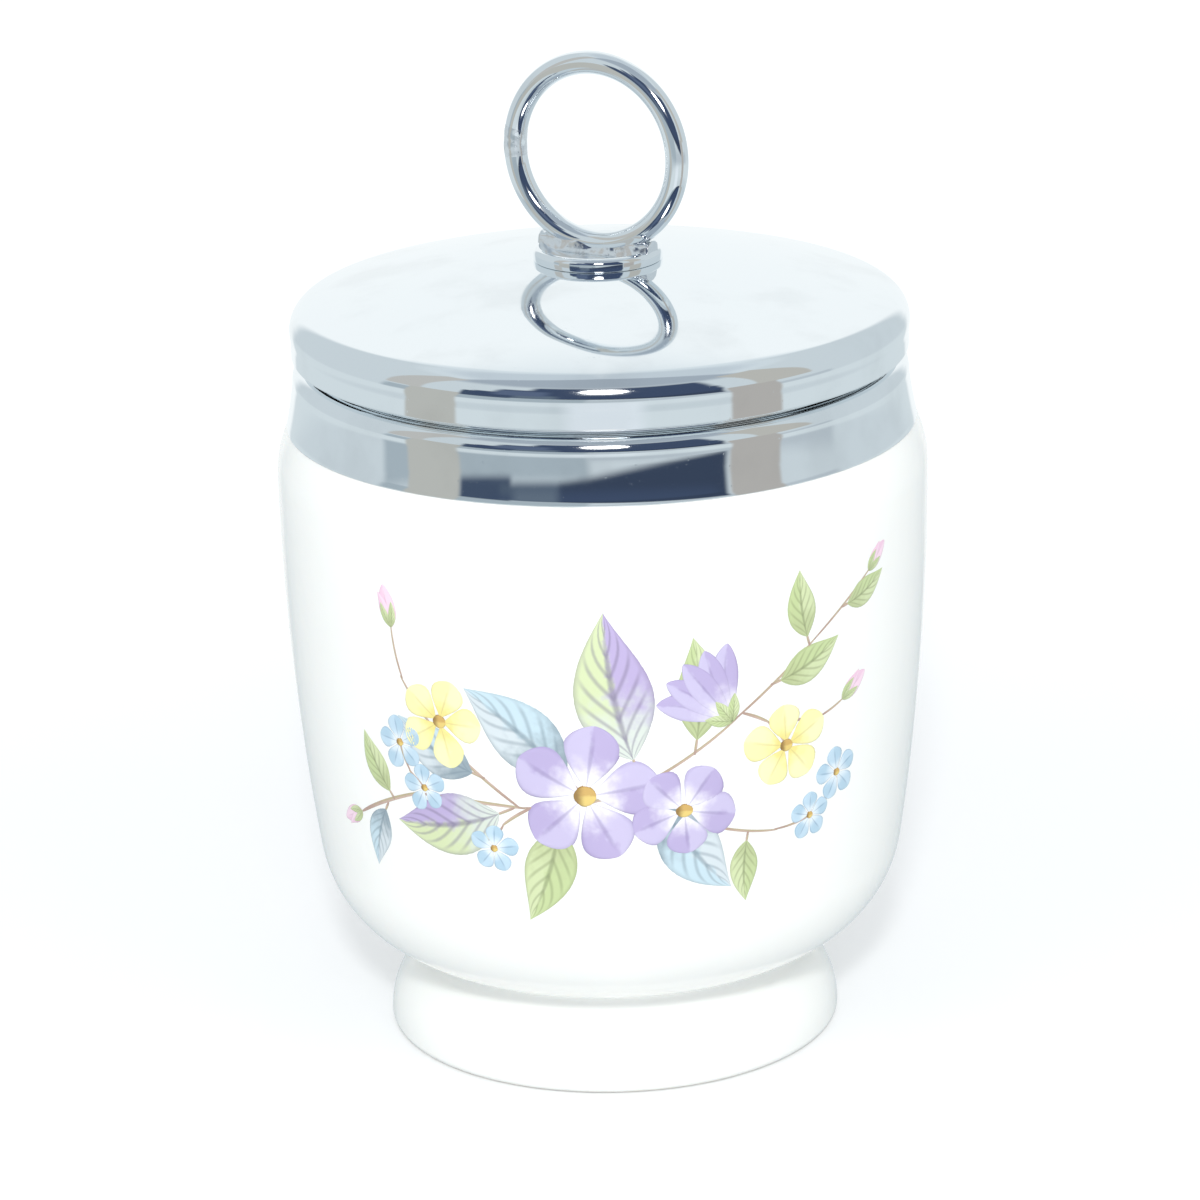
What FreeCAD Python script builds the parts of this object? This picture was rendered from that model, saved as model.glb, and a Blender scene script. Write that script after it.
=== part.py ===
import FreeCAD, Part
import math
import os
import Sketcher

# Porcelain egg coddler: a barrel-shaped cup on a foot ring, a threaded metal band
# cemented on its neck, and a domed screw lid with a ring to lift it by.
# Millimetres. The axis is Z, and the origin is in the middle of the foot's rest plane.

# Driving sizes: name, value and what it is.
DRIVING = (
    ("mouth_radius", 24.6, "inside of the cup's mouth"),
    ("neck_wall", 2.6, "porcelain at the neck and lip"),
    ("cement_film", 0.5, "cement between neck and band"),
    ("bond_line", 0.02, "play that glue, cement and braze leave at their faces"),
    ("band_thickness", 0.6, "sheet of the band"),
    ("band_shoulder_arc", 1.65, "round from the band's waist in to its neck"),
    ("band_flare", 0.73, "how far the band's foot stands out from its waist"),
    ("band_flare_height", 4.8, "from the band's foot up to its waist"),
    ("band_flare_arc", 43.0, "slight hollow of the band's flare"),
    ("band_waist_arc", 5.0, "hollow of the band's waist"),
    ("band_overhang", 0.05, "how far the band's foot stands out over the porcelain"),
    ("band_below_lip", 1.1, "from the lip down to the band's top edge"),
    ("band_edge_round", 0.25, "round on the band's top edge"),
    ("belly_bulge", 1.12, "how far the belly stands out from the band's seat"),
    ("belly_height", 57.5, "widest point of the cup"),
    ("shoulder_rise", 4.7, "from the belly up to the band's seat"),
    ("side_arc", 262.0, "long curve of the cup's side"),
    ("corner_arc", 12.5, "curve from the side to the underside"),
    ("underside_height", 8.7, "lowest point of the cup's outer curve"),
    ("foot_radius", 22.5, "foot ring, outside"),
    ("foot_arc", 8.0, "bulge of the foot ring's outside"),
    ("foot_round", 0.8, "round under the foot ring's outside"),
    ("foot_fillet", 1.2, "hollow between foot ring and underside"),
    ("foot_width", 3.2, "foot ring, across at the bottom"),
    ("foot_inner_round", 0.7, "round under the foot ring's inside"),
    ("recess_height", 7.8, "hollow under the cup"),
    ("recess_taper", 2.6, "how much narrower the hollow gets upwards"),
    ("recess_fillet", 2.0, "round between the hollow's wall and ceiling"),
    ("floor_thickness", 4.0, "porcelain under the egg"),
    ("side_wall", 3.3, "porcelain at the belly"),
    ("bowl_arc", 9.3, "inside curve from side to floor"),
    ("cove_arc", 7.0, "each of the two curves that narrow the inside to the mouth"),
    ("thread_room", 0.85, "radial room between band and skirt, which the threads fill"),
    ("lid_wall", 0.9, "sheet of the lid"),
    ("rim_gap", 0.55, "from the band's shoulder up to the lid's rim"),
    ("rim_round", 0.25, "round on the lid's rim"),
    ("skirt_height", 2.7, "from the rim up to the lid's widest point"),
    ("skirt_pinch", 0.05, "depth of the skirt's waist"),
    ("pinch_height", 1.5, "from the rim up to the skirt's waist"),
    ("lid_corner_arc", 2.55, "round from the skirt to the dome"),
    ("dome_arc", 103.5, "curve of the dome"),
    ("lip_clearance", 0.3, "from the lid's underside to the lip"),
    ("seat_sink", 0.25, "how far the boss's seat lies under the dome's crown"),
    ("seat_margin", 0.15, "flat seat around the boss"),
    ("seat_bevel", 0.4, "width of the slope from the dome down to the seat"),
    ("boss_radius", 6.24, "handle boss, outside"),
    ("boss_height", 1.3, "from the boss's seat up to its rim"),
    ("boss_roll", 0.6, "roll of the boss's rim"),
    ("boss_heel", 0.12, "round under the boss's edge"),
    ("dish_floor_radius", 3.4, "flat middle of the boss's dish"),
    ("dish_floor_height", 0.6, "from the boss's seat up to the dish's floor"),
    ("dish_arc", 4.5, "curve of the dish"),
    ("spigot_radius", 1.6, "spigot that goes down through the lid"),
    ("running_fit", 0.05, "clearance of spigot and washer"),
    ("washer_radius", 4.5, "backing washer, outside"),
    ("washer_thickness", 0.6, "backing washer"),
    ("head_radius", 2.7, "hammered head of the spigot"),
    ("head_height", 0.9, "hammered head of the spigot"),
    ("ring_radius", 8.8, "handle ring, to the middle of the wire"),
    ("wire_radius", 1.125, "handle ring, wire"),
    ("wire_bed_height", 1.53, "from the boss's seat up to the middle of the wire"),
    ("ring_turn", 28.8, "degrees from the X axis to the handle ring's plane"),
    ("braze_reach", 6.1, "end of the braze, from the axis"),
    ("braze_height", 2.15, "from the boss's seat up to the top of the braze"),
    ("braze_width", 3.8, "braze across the ring, at the boss's seat"),
    ("braze_taper", 16.0, "degrees by which the sides of the braze lean in"),
)

# Sizes that follow from the driving ones.
WORKED = (
    # radii, from the mouth outwards
    ("neck_radius", "size.mouth_radius + size.neck_wall"),
    ("band_core_radius", "worked.neck_radius + size.cement_film"),
    ("band_neck_radius", "worked.band_core_radius + size.band_thickness"),
    ("waist_radius", "worked.band_neck_radius + size.band_shoulder_arc"),
    ("band_foot_radius", "worked.waist_radius + size.band_flare"),
    ("seat_radius", "worked.band_foot_radius - size.band_overhang"),
    ("belly_radius", "worked.seat_radius + size.belly_bulge"),
    ("skirt_radius", "worked.band_neck_radius + size.thread_room"),
    ("lid_radius", "worked.skirt_radius + size.lid_wall"),
    # heights, from the belly upwards
    ("seat_height", "size.belly_height + size.shoulder_rise"),
    ("waist_height", "worked.seat_height + size.band_flare_height"),
    ("band_shoulder_top", "worked.waist_height + size.band_shoulder_arc"),
    ("rim_height", "worked.band_shoulder_top + size.rim_gap"),
    ("pinch_level", "worked.rim_height + size.pinch_height"),
    ("lid_turn_height", "worked.rim_height + size.skirt_height"),
    # arcs that are upright at one end
    ("shoulder_arc", "(size.belly_bulge^2 + size.shoulder_rise^2) / (2 * size.belly_bulge)"),
    ("pinch_rise", "size.skirt_height - size.pinch_height"),
    ("pinch_arc", "(size.skirt_pinch^2 + worked.pinch_rise^2) / (4 * size.skirt_pinch)"),
    ("pinch_fall", "size.pinch_height - size.rim_round"),
    ("rim_arc", "(size.skirt_pinch^2 + worked.pinch_fall^2) / (2 * size.skirt_pinch)"),
    # band: the arc of its waist lies inside the arc of its flare and touches it
    ("flare_across", "size.band_waist_arc - size.band_flare"),
    ("flare_slant", "sqrt(worked.flare_across^2 + size.band_flare_height^2)"),
    ("flare_reach", "size.band_flare_arc - size.band_waist_arc"),
    ("flare_along", "(worked.flare_slant^2 + size.band_flare_arc^2 - worked.flare_reach^2)"
     " / (2 * worked.flare_slant)"),
    ("flare_aside", "sqrt(size.band_flare_arc^2 - worked.flare_along^2)"),
    ("flare_centre_r", "worked.band_foot_radius + (worked.flare_along * worked.flare_across"
     " + worked.flare_aside * size.band_flare_height) / worked.flare_slant"),
    ("flare_centre_z", "worked.seat_height + (worked.flare_along * size.band_flare_height"
     " - worked.flare_aside * worked.flare_across) / worked.flare_slant"),
    ("throat_share", "size.band_flare_arc / worked.flare_reach"),
    ("throat_r", "worked.flare_centre_r + (worked.waist_radius + size.band_waist_arc"
     " - worked.flare_centre_r) * worked.throat_share"),
    ("throat_z", "worked.flare_centre_z"
     " + (worked.waist_height - worked.flare_centre_z) * worked.throat_share"),
    # outer side of the cup
    ("side_centre_r", "worked.belly_radius - size.side_arc"),
    ("corner_centre_z", "size.underside_height + size.corner_arc"),
    ("side_reach", "size.side_arc - size.corner_arc"),
    ("corner_centre_r", "worked.side_centre_r"
     " + sqrt(worked.side_reach^2 - (size.belly_height - worked.corner_centre_z)^2)"),
    ("side_share", "size.side_arc / worked.side_reach"),
    ("side_end_r", "worked.side_centre_r"
     " + (worked.corner_centre_r - worked.side_centre_r) * worked.side_share"),
    ("side_end_z", "size.belly_height"
     " + (worked.corner_centre_z - size.belly_height) * worked.side_share"),
    # hollow between foot ring and underside: a circle that touches both rounds
    ("foot_centre_r", "size.foot_radius - size.foot_arc"),
    ("foot_reach", "size.foot_arc + size.foot_fillet"),
    ("corner_reach", "size.corner_arc + size.foot_fillet"),
    ("across_r", "worked.corner_centre_r - worked.foot_centre_r"),
    ("across_z", "worked.corner_centre_z - size.foot_round"),
    ("across", "sqrt(worked.across_r^2 + worked.across_z^2)"),
    ("along", "(worked.across^2 + worked.foot_reach^2 - worked.corner_reach^2)"
     " / (2 * worked.across)"),
    ("aside", "sqrt(worked.foot_reach^2 - worked.along^2)"),
    ("hollow_r", "worked.foot_centre_r"
     " + (worked.along * worked.across_r + worked.aside * worked.across_z) / worked.across"),
    ("hollow_z", "size.foot_round"
     " + (worked.along * worked.across_z - worked.aside * worked.across_r) / worked.across"),
    ("foot_end_r", "worked.foot_centre_r"
     " + (worked.hollow_r - worked.foot_centre_r) * size.foot_arc / worked.foot_reach"),
    ("foot_end_z", "size.foot_round"
     " + (worked.hollow_z - size.foot_round) * size.foot_arc / worked.foot_reach"),
    ("corner_end_r", "worked.corner_centre_r"
     " + (worked.hollow_r - worked.corner_centre_r) * size.corner_arc / worked.corner_reach"),
    ("corner_end_z", "worked.corner_centre_z"
     " + (worked.hollow_z - worked.corner_centre_z) * size.corner_arc / worked.corner_reach"),
    # hollow under the foot
    ("recess_radius", "size.foot_radius - size.foot_width"),
    ("ceiling_radius", "worked.recess_radius - size.recess_taper"),
    # inside of the cup
    ("floor_height", "size.recess_height + size.floor_thickness"),
    ("cavity_radius", "worked.belly_radius - size.side_wall"),
    ("cove_inset", "worked.cavity_radius - size.mouth_radius"),
    ("cove_height", "sqrt(4 * size.cove_arc * worked.cove_inset - worked.cove_inset^2)"),
    ("cove_bottom", "worked.seat_height - worked.cove_height"),
    ("inner_side_arc", "size.side_arc - size.side_wall"),
    ("inner_side_centre_r", "worked.cavity_radius - worked.inner_side_arc"),
    ("bowl_centre_z", "worked.floor_height + size.bowl_arc"),
    ("inner_reach", "worked.inner_side_arc - size.bowl_arc"),
    ("bowl_centre_r", "worked.inner_side_centre_r"
     " + sqrt(worked.inner_reach^2 - (worked.cove_bottom - worked.bowl_centre_z)^2)"),
    ("inner_share", "worked.inner_side_arc / worked.inner_reach"),
    ("inner_end_r", "worked.inner_side_centre_r"
     " + (worked.bowl_centre_r - worked.inner_side_centre_r) * worked.inner_share"),
    ("inner_end_z", "worked.cove_bottom"
     " + (worked.bowl_centre_z - worked.cove_bottom) * worked.inner_share"),
    # lid: the dome is tangent to its corner round
    ("lid_corner_r", "worked.lid_radius - size.lid_corner_arc"),
    ("dome_reach", "size.dome_arc - size.lid_corner_arc"),
    ("dome_centre_z", "worked.lid_turn_height"
     " - sqrt(worked.dome_reach^2 - worked.lid_corner_r^2)"),
    ("dome_edge_r", "worked.lid_corner_r * size.dome_arc / worked.dome_reach"),
    ("dome_edge_z", "worked.dome_centre_z"
     " + (worked.lid_turn_height - worked.dome_centre_z) * size.dome_arc / worked.dome_reach"),
    ("inner_dome_arc", "size.dome_arc - size.lid_wall"),
    ("inner_dome_edge_r", "worked.lid_corner_r * worked.inner_dome_arc / worked.dome_reach"),
    ("inner_dome_edge_z", "worked.dome_centre_z"
     " + (worked.lid_turn_height - worked.dome_centre_z)"
     " * worked.inner_dome_arc / worked.dome_reach"),
    # the lip stands a clearance under the lid
    ("lip_round", "size.neck_wall / 2"),
    ("lip_centre_r", "size.mouth_radius + worked.lip_round"),
    ("lip_centre_z", "worked.dome_centre_z + sqrt((worked.inner_dome_arc"
     " - size.lip_clearance - worked.lip_round)^2 - worked.lip_centre_r^2)"),
    ("lip_top", "worked.lip_centre_z + worked.lip_round"),
    ("band_top", "worked.lip_top - size.band_below_lip"),
    # seat of the boss and what hangs on it
    ("boss_seat", "worked.dome_centre_z + size.dome_arc - size.seat_sink"),
    ("seat_edge_r", "size.boss_radius + size.seat_margin"),
    ("seat_slope_r", "worked.seat_edge_r + size.seat_bevel"),
    ("slope_top", "worked.dome_centre_z"
     " + sqrt(size.dome_arc^2 - worked.seat_slope_r^2)"),
    ("inner_slope_top", "worked.dome_centre_z"
     " + sqrt(worked.inner_dome_arc^2 - worked.seat_slope_r^2)"),
    ("seat_underside", "worked.boss_seat - size.lid_wall"),
    ("hole_radius", "size.spigot_radius + size.running_fit"),
    ("washer_top", "worked.seat_underside - size.running_fit"),
    ("washer_bottom", "worked.washer_top - size.washer_thickness"),
    ("head_top", "worked.washer_bottom - size.running_fit"),
    ("head_arc", "(size.head_radius^2 + size.head_height^2) / (2 * size.head_height)"),
    ("rim_crest_r", "size.boss_radius - size.boss_roll"),
    ("rim_crest_z", "worked.boss_seat + size.boss_height"),
    ("ring_bed", "worked.boss_seat + size.wire_bed_height"),
    ("ring_centre", "worked.ring_bed + size.ring_radius"),
    ("groove_radius", "size.wire_radius + size.bond_line"),
    ("bar_reach", "size.braze_reach + size.braze_height"),
)

AXIS = "0"
Z_AXIS = FreeCAD.Vector(0, 0, 1)
X_AXIS = FreeCAD.Vector(1, 0, 0)

doc = FreeCAD.newDocument("egg_coddler")


def make_sheet():
    """Fill the spreadsheet with the driving sizes, one row each."""
    sheet = doc.addObject("Spreadsheet::Sheet", "size")
    for row, (name, value, meaning) in enumerate(DRIVING, start=1):
        sheet.set(f"A{row}", meaning)
        sheet.set(f"B{row}", str(value))
        sheet.setAlias(f"B{row}", name)
    doc.recompute()
    return sheet


def make_worked_sizes():
    """Hold the sizes that follow from the sheet, each bound to its formula."""
    worked = doc.addObject("App::VarSet", "worked")
    for name, formula in WORKED:
        worked.addProperty("App::PropertyFloat", name, "Worked")
        worked.setExpression(name, formula)
    doc.recompute()
    return worked


def origin_plane(body, role):
    """Return one of the body's own origin planes."""
    for feature in body.Origin.OriginFeatures:
        if feature.Role == role:
            return feature
    raise ValueError(role)


def new_sketch(body, name, role):
    """Start a sketch on one of the body's origin planes."""
    sketch = body.newObject("Sketcher::SketchObject", name)
    sketch.AttachmentSupport = (origin_plane(body, role), [""])
    sketch.MapMode = "FlatFace"
    return sketch


def arc_between(start, end, radius, turns_left):
    """Return the short arc of a radius from start to end, and whether it runs backwards."""
    chord = end - start
    middle = (start + end) * 0.5
    to_centre = math.sqrt(max(radius ** 2 - (chord.Length / 2) ** 2, 0.0))
    left = FreeCAD.Vector(-chord.y, chord.x, 0).normalize()
    centre = middle + left * (to_centre if turns_left else -to_centre)
    first, last = (start, end) if turns_left else (end, start)
    circle = Part.Circle(centre, Z_AXIS, radius)
    return Part.ArcOfCircle(circle, circle.parameter(first), circle.parameter(last))


def pin(sketch, kind, place, expression, name):
    """Bind one coordinate of a point, or a radius, to an expression."""
    if kind != "Radius" and expression == AXIS:
        axis_line = -2 if kind == "DistanceX" else -1
        sketch.addConstraint(Sketcher.Constraint("PointOnObject", *place, axis_line))
        return
    origin = () if kind == "Radius" else (-1, 1)
    value = float(sketch.evalExpression(expression))
    index = sketch.addConstraint(Sketcher.Constraint(kind, *origin, *place, value))
    sketch.renameConstraint(index, name)
    sketch.setExpression(f"Constraints.{name}", expression)


def add_outline(body, name, corners):
    """Sketch a closed outline on the body's XZ plane, with the solid on its left.

    A corner is (name, r, z) where a straight line leads to the next one, and
    (name, r, z, side, radius) where an arc does: side is "out" for a bulge and "in"
    for a hollow.
    """
    sketch = new_sketch(body, name, "XZ_Plane")
    points = []
    for corner in corners:
        r_value = float(sketch.evalExpression(corner[1]))
        z_value = float(sketch.evalExpression(corner[2]))
        points.append(FreeCAD.Vector(r_value, z_value, 0))
    for index, corner in enumerate(corners):
        start = points[index]
        end = points[(index + 1) % len(points)]
        if len(corner) == 3:
            sketch.addGeometry(Part.LineSegment(start, end), False)
        else:
            radius = float(sketch.evalExpression(corner[4]))
            sketch.addGeometry(arc_between(start, end, radius, corner[3] == "out"), False)

    # An arc in a sketch runs counterclockwise, so a hollow one starts at its far end.
    def start_of(index):
        return 2 if len(corners[index]) > 3 and corners[index][3] == "in" else 1

    for index, corner in enumerate(corners):
        following = (index + 1) % len(corners)
        end_point = 3 - start_of(index)
        sketch.addConstraint(Sketcher.Constraint(
            "Coincident", index, end_point, following, start_of(following)))
    for index, corner in enumerate(corners):
        place = (index, start_of(index))
        pin(sketch, "DistanceX", place, corner[1], f"{corner[0]}_r")
        pin(sketch, "DistanceY", place, corner[2], f"{corner[0]}_z")
        if len(corner) > 3:
            pin(sketch, "Radius", (index,), corner[4], f"{corner[0]}_arc")
    return sketch


def turned_body(label, corners):
    """Turn an outline round the Z axis into a body."""
    body = doc.addObject("PartDesign::Body", label)
    body.Label = label
    sketch = add_outline(body, f"{label}_outline", corners)
    turning = body.newObject("PartDesign::Revolution", f"{label}_turning")
    turning.Profile = sketch
    turning.ReferenceAxis = (sketch, ["V_Axis"])
    turning.Angle = 360
    body.Tip = turning
    doc.recompute()
    return body


def make_cup():
    """Porcelain cup: foot ring, barrel side, ledge and neck for the band, round lip."""
    return turned_body("porcelain_cup", (
        ("land_inner", "worked.recess_radius + size.foot_inner_round", AXIS),
        ("land_outer", "size.foot_radius - size.foot_round", AXIS, "out", "size.foot_round"),
        ("foot_widest", "size.foot_radius", "size.foot_round", "out", "size.foot_arc"),
        ("foot_end", "worked.foot_end_r", "worked.foot_end_z", "in", "size.foot_fillet"),
        ("corner_end", "worked.corner_end_r", "worked.corner_end_z", "out", "size.corner_arc"),
        ("side_end", "worked.side_end_r", "worked.side_end_z", "out", "size.side_arc"),
        ("belly", "worked.belly_radius", "size.belly_height", "out", "worked.shoulder_arc"),
        ("ledge_outer", "worked.seat_radius", "worked.seat_height"),
        ("ledge_inner", "worked.neck_radius", "worked.seat_height"),
        ("lip_outer", "worked.neck_radius", "worked.lip_centre_z", "out", "worked.lip_round"),
        ("lip_crown", "worked.lip_centre_r", "worked.lip_top", "out", "worked.lip_round"),
        ("lip_inner", "size.mouth_radius", "worked.lip_centre_z"),
        ("cove_top", "size.mouth_radius", "worked.seat_height", "out", "size.cove_arc"),
        ("cove_middle", "(size.mouth_radius + worked.cavity_radius) / 2",
         "(worked.seat_height + worked.cove_bottom) / 2", "in", "size.cove_arc"),
        ("cavity", "worked.cavity_radius", "worked.cove_bottom", "in",
         "worked.inner_side_arc"),
        ("bowl_side", "worked.inner_end_r", "worked.inner_end_z", "in", "size.bowl_arc"),
        ("bowl_floor", "worked.bowl_centre_r", "worked.floor_height"),
        ("floor_middle", AXIS, "worked.floor_height"),
        ("ceiling_middle", AXIS, "size.recess_height"),
        ("ceiling_edge", "worked.ceiling_radius - size.recess_fillet",
         "size.recess_height", "in", "size.recess_fillet"),
        ("recess_top", "worked.ceiling_radius", "size.recess_height - size.recess_fillet"),
        ("recess_mouth", "worked.recess_radius", "size.foot_inner_round", "out",
         "size.foot_inner_round"),
    ))


def make_collar():
    """Spun metal band: flared foot on the porcelain's ledge, waist, shoulder and neck."""
    return turned_body("screw_collar", (
        ("foot_inner", "worked.band_foot_radius - size.band_thickness", "worked.seat_height"),
        ("foot_outer", "worked.band_foot_radius", "worked.seat_height", "in",
         "size.band_flare_arc"),
        ("throat", "worked.throat_r", "worked.throat_z", "in", "size.band_waist_arc"),
        ("waist", "worked.waist_radius", "worked.waist_height", "out",
         "size.band_shoulder_arc"),
        ("neck_root", "worked.band_neck_radius", "worked.band_shoulder_top"),
        ("edge_outer", "worked.band_neck_radius", "worked.band_top - size.band_edge_round",
         "out", "size.band_edge_round"),
        ("edge_top", "worked.band_neck_radius - size.band_edge_round", "worked.band_top"),
        ("edge_back", "worked.band_core_radius + size.band_edge_round", "worked.band_top",
         "out", "size.band_edge_round"),
        ("edge_inner", "worked.band_core_radius", "worked.band_top - size.band_edge_round"),
        ("neck_inner", "worked.band_core_radius",
         "worked.band_shoulder_top - size.band_thickness"),
        ("shoulder_inner", "worked.band_neck_radius",
         "worked.band_shoulder_top - size.band_thickness", "in",
         "size.band_shoulder_arc - size.band_thickness"),
        ("waist_inner", "worked.waist_radius - size.band_thickness", "worked.waist_height",
         "out", "size.band_waist_arc"),
        ("throat_inner", "worked.throat_r - size.band_thickness", "worked.throat_z",
         "out", "size.band_flare_arc"),
    ))


def make_cement():
    """Bed of cement that holds the band on the porcelain neck."""
    return turned_body("collar_cement", (
        ("bed_inner", "worked.neck_radius + size.bond_line",
         "worked.seat_height + size.bond_line"),
        ("bed_outer", "worked.band_foot_radius - size.band_thickness - size.bond_line",
         "worked.seat_height + size.bond_line", "in", "size.band_flare_arc"),
        ("bed_throat", "worked.throat_r - size.band_thickness - size.bond_line",
         "worked.throat_z", "in", "size.band_waist_arc"),
        ("bed_waist", "worked.waist_radius - size.band_thickness - size.bond_line",
         "worked.waist_height", "out",
         "size.band_shoulder_arc - size.band_thickness - size.bond_line"),
        ("bed_shoulder", "worked.band_neck_radius",
         "worked.band_shoulder_top - size.band_thickness - size.bond_line"),
        ("film_outer", "worked.band_core_radius - size.bond_line",
         "worked.band_shoulder_top - size.band_thickness - size.bond_line"),
        ("film_top", "worked.band_core_radius - size.bond_line",
         "worked.band_top - size.band_thickness"),
        ("film_back", "worked.neck_radius + size.bond_line",
         "worked.band_top - size.band_thickness"),
    ))


def make_lid():
    """Pressed lid: waisted skirt, round corner, shallow dome and a sunk seat for the boss."""
    return turned_body("lid_shell", (
        ("rim_inner", "worked.skirt_radius", "worked.rim_height"),
        ("rim_outer", "worked.lid_radius - size.rim_round", "worked.rim_height", "out",
         "size.rim_round"),
        ("rim_side", "worked.lid_radius", "worked.rim_height + size.rim_round", "in",
         "worked.rim_arc"),
        ("pinch", "worked.lid_radius - size.skirt_pinch", "worked.pinch_level", "in",
         "worked.pinch_arc"),
        ("pinch_out", "worked.lid_radius - size.skirt_pinch / 2",
         "(worked.pinch_level + worked.lid_turn_height) / 2", "out", "worked.pinch_arc"),
        ("widest", "worked.lid_radius", "worked.lid_turn_height", "out",
         "size.lid_corner_arc"),
        ("dome_edge", "worked.dome_edge_r", "worked.dome_edge_z", "out", "size.dome_arc"),
        ("slope_top", "worked.seat_slope_r", "worked.slope_top"),
        ("seat_edge", "worked.seat_edge_r", "worked.boss_seat"),
        ("hole_top", "worked.hole_radius", "worked.boss_seat"),
        ("hole_bottom", "worked.hole_radius", "worked.seat_underside"),
        ("seat_under", "worked.seat_edge_r", "worked.seat_underside"),
        ("slope_under", "worked.seat_slope_r", "worked.inner_slope_top", "in",
         "worked.inner_dome_arc"),
        ("inner_edge", "worked.inner_dome_edge_r", "worked.inner_dome_edge_z", "in",
         "size.lid_corner_arc - size.lid_wall"),
        ("inner_turn", "worked.skirt_radius", "worked.lid_turn_height"),
    ))


def make_boss():
    """Turned boss: round rim, dish, spigot with a hammered head, groove for the ring."""
    body = turned_body("handle_boss", (
        ("head_pole", AXIS, "worked.head_top - size.head_height", "out", "worked.head_arc"),
        ("head_edge", "size.head_radius", "worked.head_top"),
        ("head_root", "size.spigot_radius", "worked.head_top"),
        ("spigot_top", "size.spigot_radius", "worked.boss_seat"),
        ("heel", "size.boss_radius - size.boss_heel", "worked.boss_seat", "out",
         "size.boss_heel"),
        ("wall_bottom", "size.boss_radius", "worked.boss_seat + size.boss_heel"),
        ("wall_top", "size.boss_radius", "worked.rim_crest_z - size.boss_roll", "out",
         "size.boss_roll"),
        ("rim_crest", "worked.rim_crest_r", "worked.rim_crest_z", "in", "size.dish_arc"),
        ("dish_edge", "size.dish_floor_radius", "worked.boss_seat + size.dish_floor_height"),
        ("dish_middle", AXIS, "worked.boss_seat + size.dish_floor_height"),
    ))
    turned_volume = body.Shape.Volume
    sketch = new_sketch(body, "groove_section", "YZ_Plane")
    bed = float(sketch.evalExpression("worked.ring_bed"))
    centre = float(sketch.evalExpression("worked.ring_centre"))
    radius = float(sketch.evalExpression("worked.groove_radius"))
    sketch.addGeometry(Part.Circle(FreeCAD.Vector(0, bed, 0), Z_AXIS, radius), False)
    sketch.addGeometry(Part.LineSegment(
        FreeCAD.Vector(0, centre, 0), FreeCAD.Vector(radius, centre, 0)), True)
    pin(sketch, "DistanceX", (0, 3), AXIS, "groove_x")
    pin(sketch, "DistanceY", (0, 3), "worked.ring_bed", "groove_z")
    pin(sketch, "Radius", (0,), "worked.groove_radius", "groove_radius")
    sketch.addConstraint(Sketcher.Constraint("Horizontal", 1))
    pin(sketch, "DistanceX", (1, 1), AXIS, "axis_x")
    pin(sketch, "DistanceY", (1, 1), "worked.ring_centre", "axis_z")
    pin(sketch, "DistanceX", (1, 2), "worked.groove_radius", "axis_end")
    groove = body.newObject("PartDesign::Groove", "ring_groove")
    groove.Profile = sketch
    groove.ReferenceAxis = (sketch, ["Axis0"])
    groove.Angle = 360
    body.Tip = groove
    turn_upright(body)
    doc.recompute()
    if body.Shape.Volume >= turned_volume:
        raise RuntimeError("the ring's groove cuts nothing")
    return body


def turn_upright(piece):
    """Turn a piece about Z from the XZ plane into the ring's plane."""
    piece.Placement = FreeCAD.Placement(FreeCAD.Vector(), FreeCAD.Rotation(Z_AXIS, 0))
    piece.setExpression("Placement.Rotation.Angle", "-size.ring_turn")


def make_torus(name, wire):
    """Torus round the ring's own axis, with its wire's radius as an expression."""
    torus = doc.addObject("Part::Torus", name)
    torus.setExpression("Radius1", "size.ring_radius")
    torus.setExpression("Radius2", wire)
    turn = FreeCAD.Rotation(Z_AXIS, -size.ring_turn)
    stand = FreeCAD.Rotation(X_AXIS, 90)
    torus.Placement = FreeCAD.Placement(FreeCAD.Vector(), turn * stand)
    torus.setExpression("Placement.Base.z", "worked.ring_centre")
    return torus


def make_ring():
    """Handle ring of round wire, standing upright in the boss."""
    ring = make_torus("handle_ring", "size.wire_radius")
    ring.Label = "handle_ring"
    return ring


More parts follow.
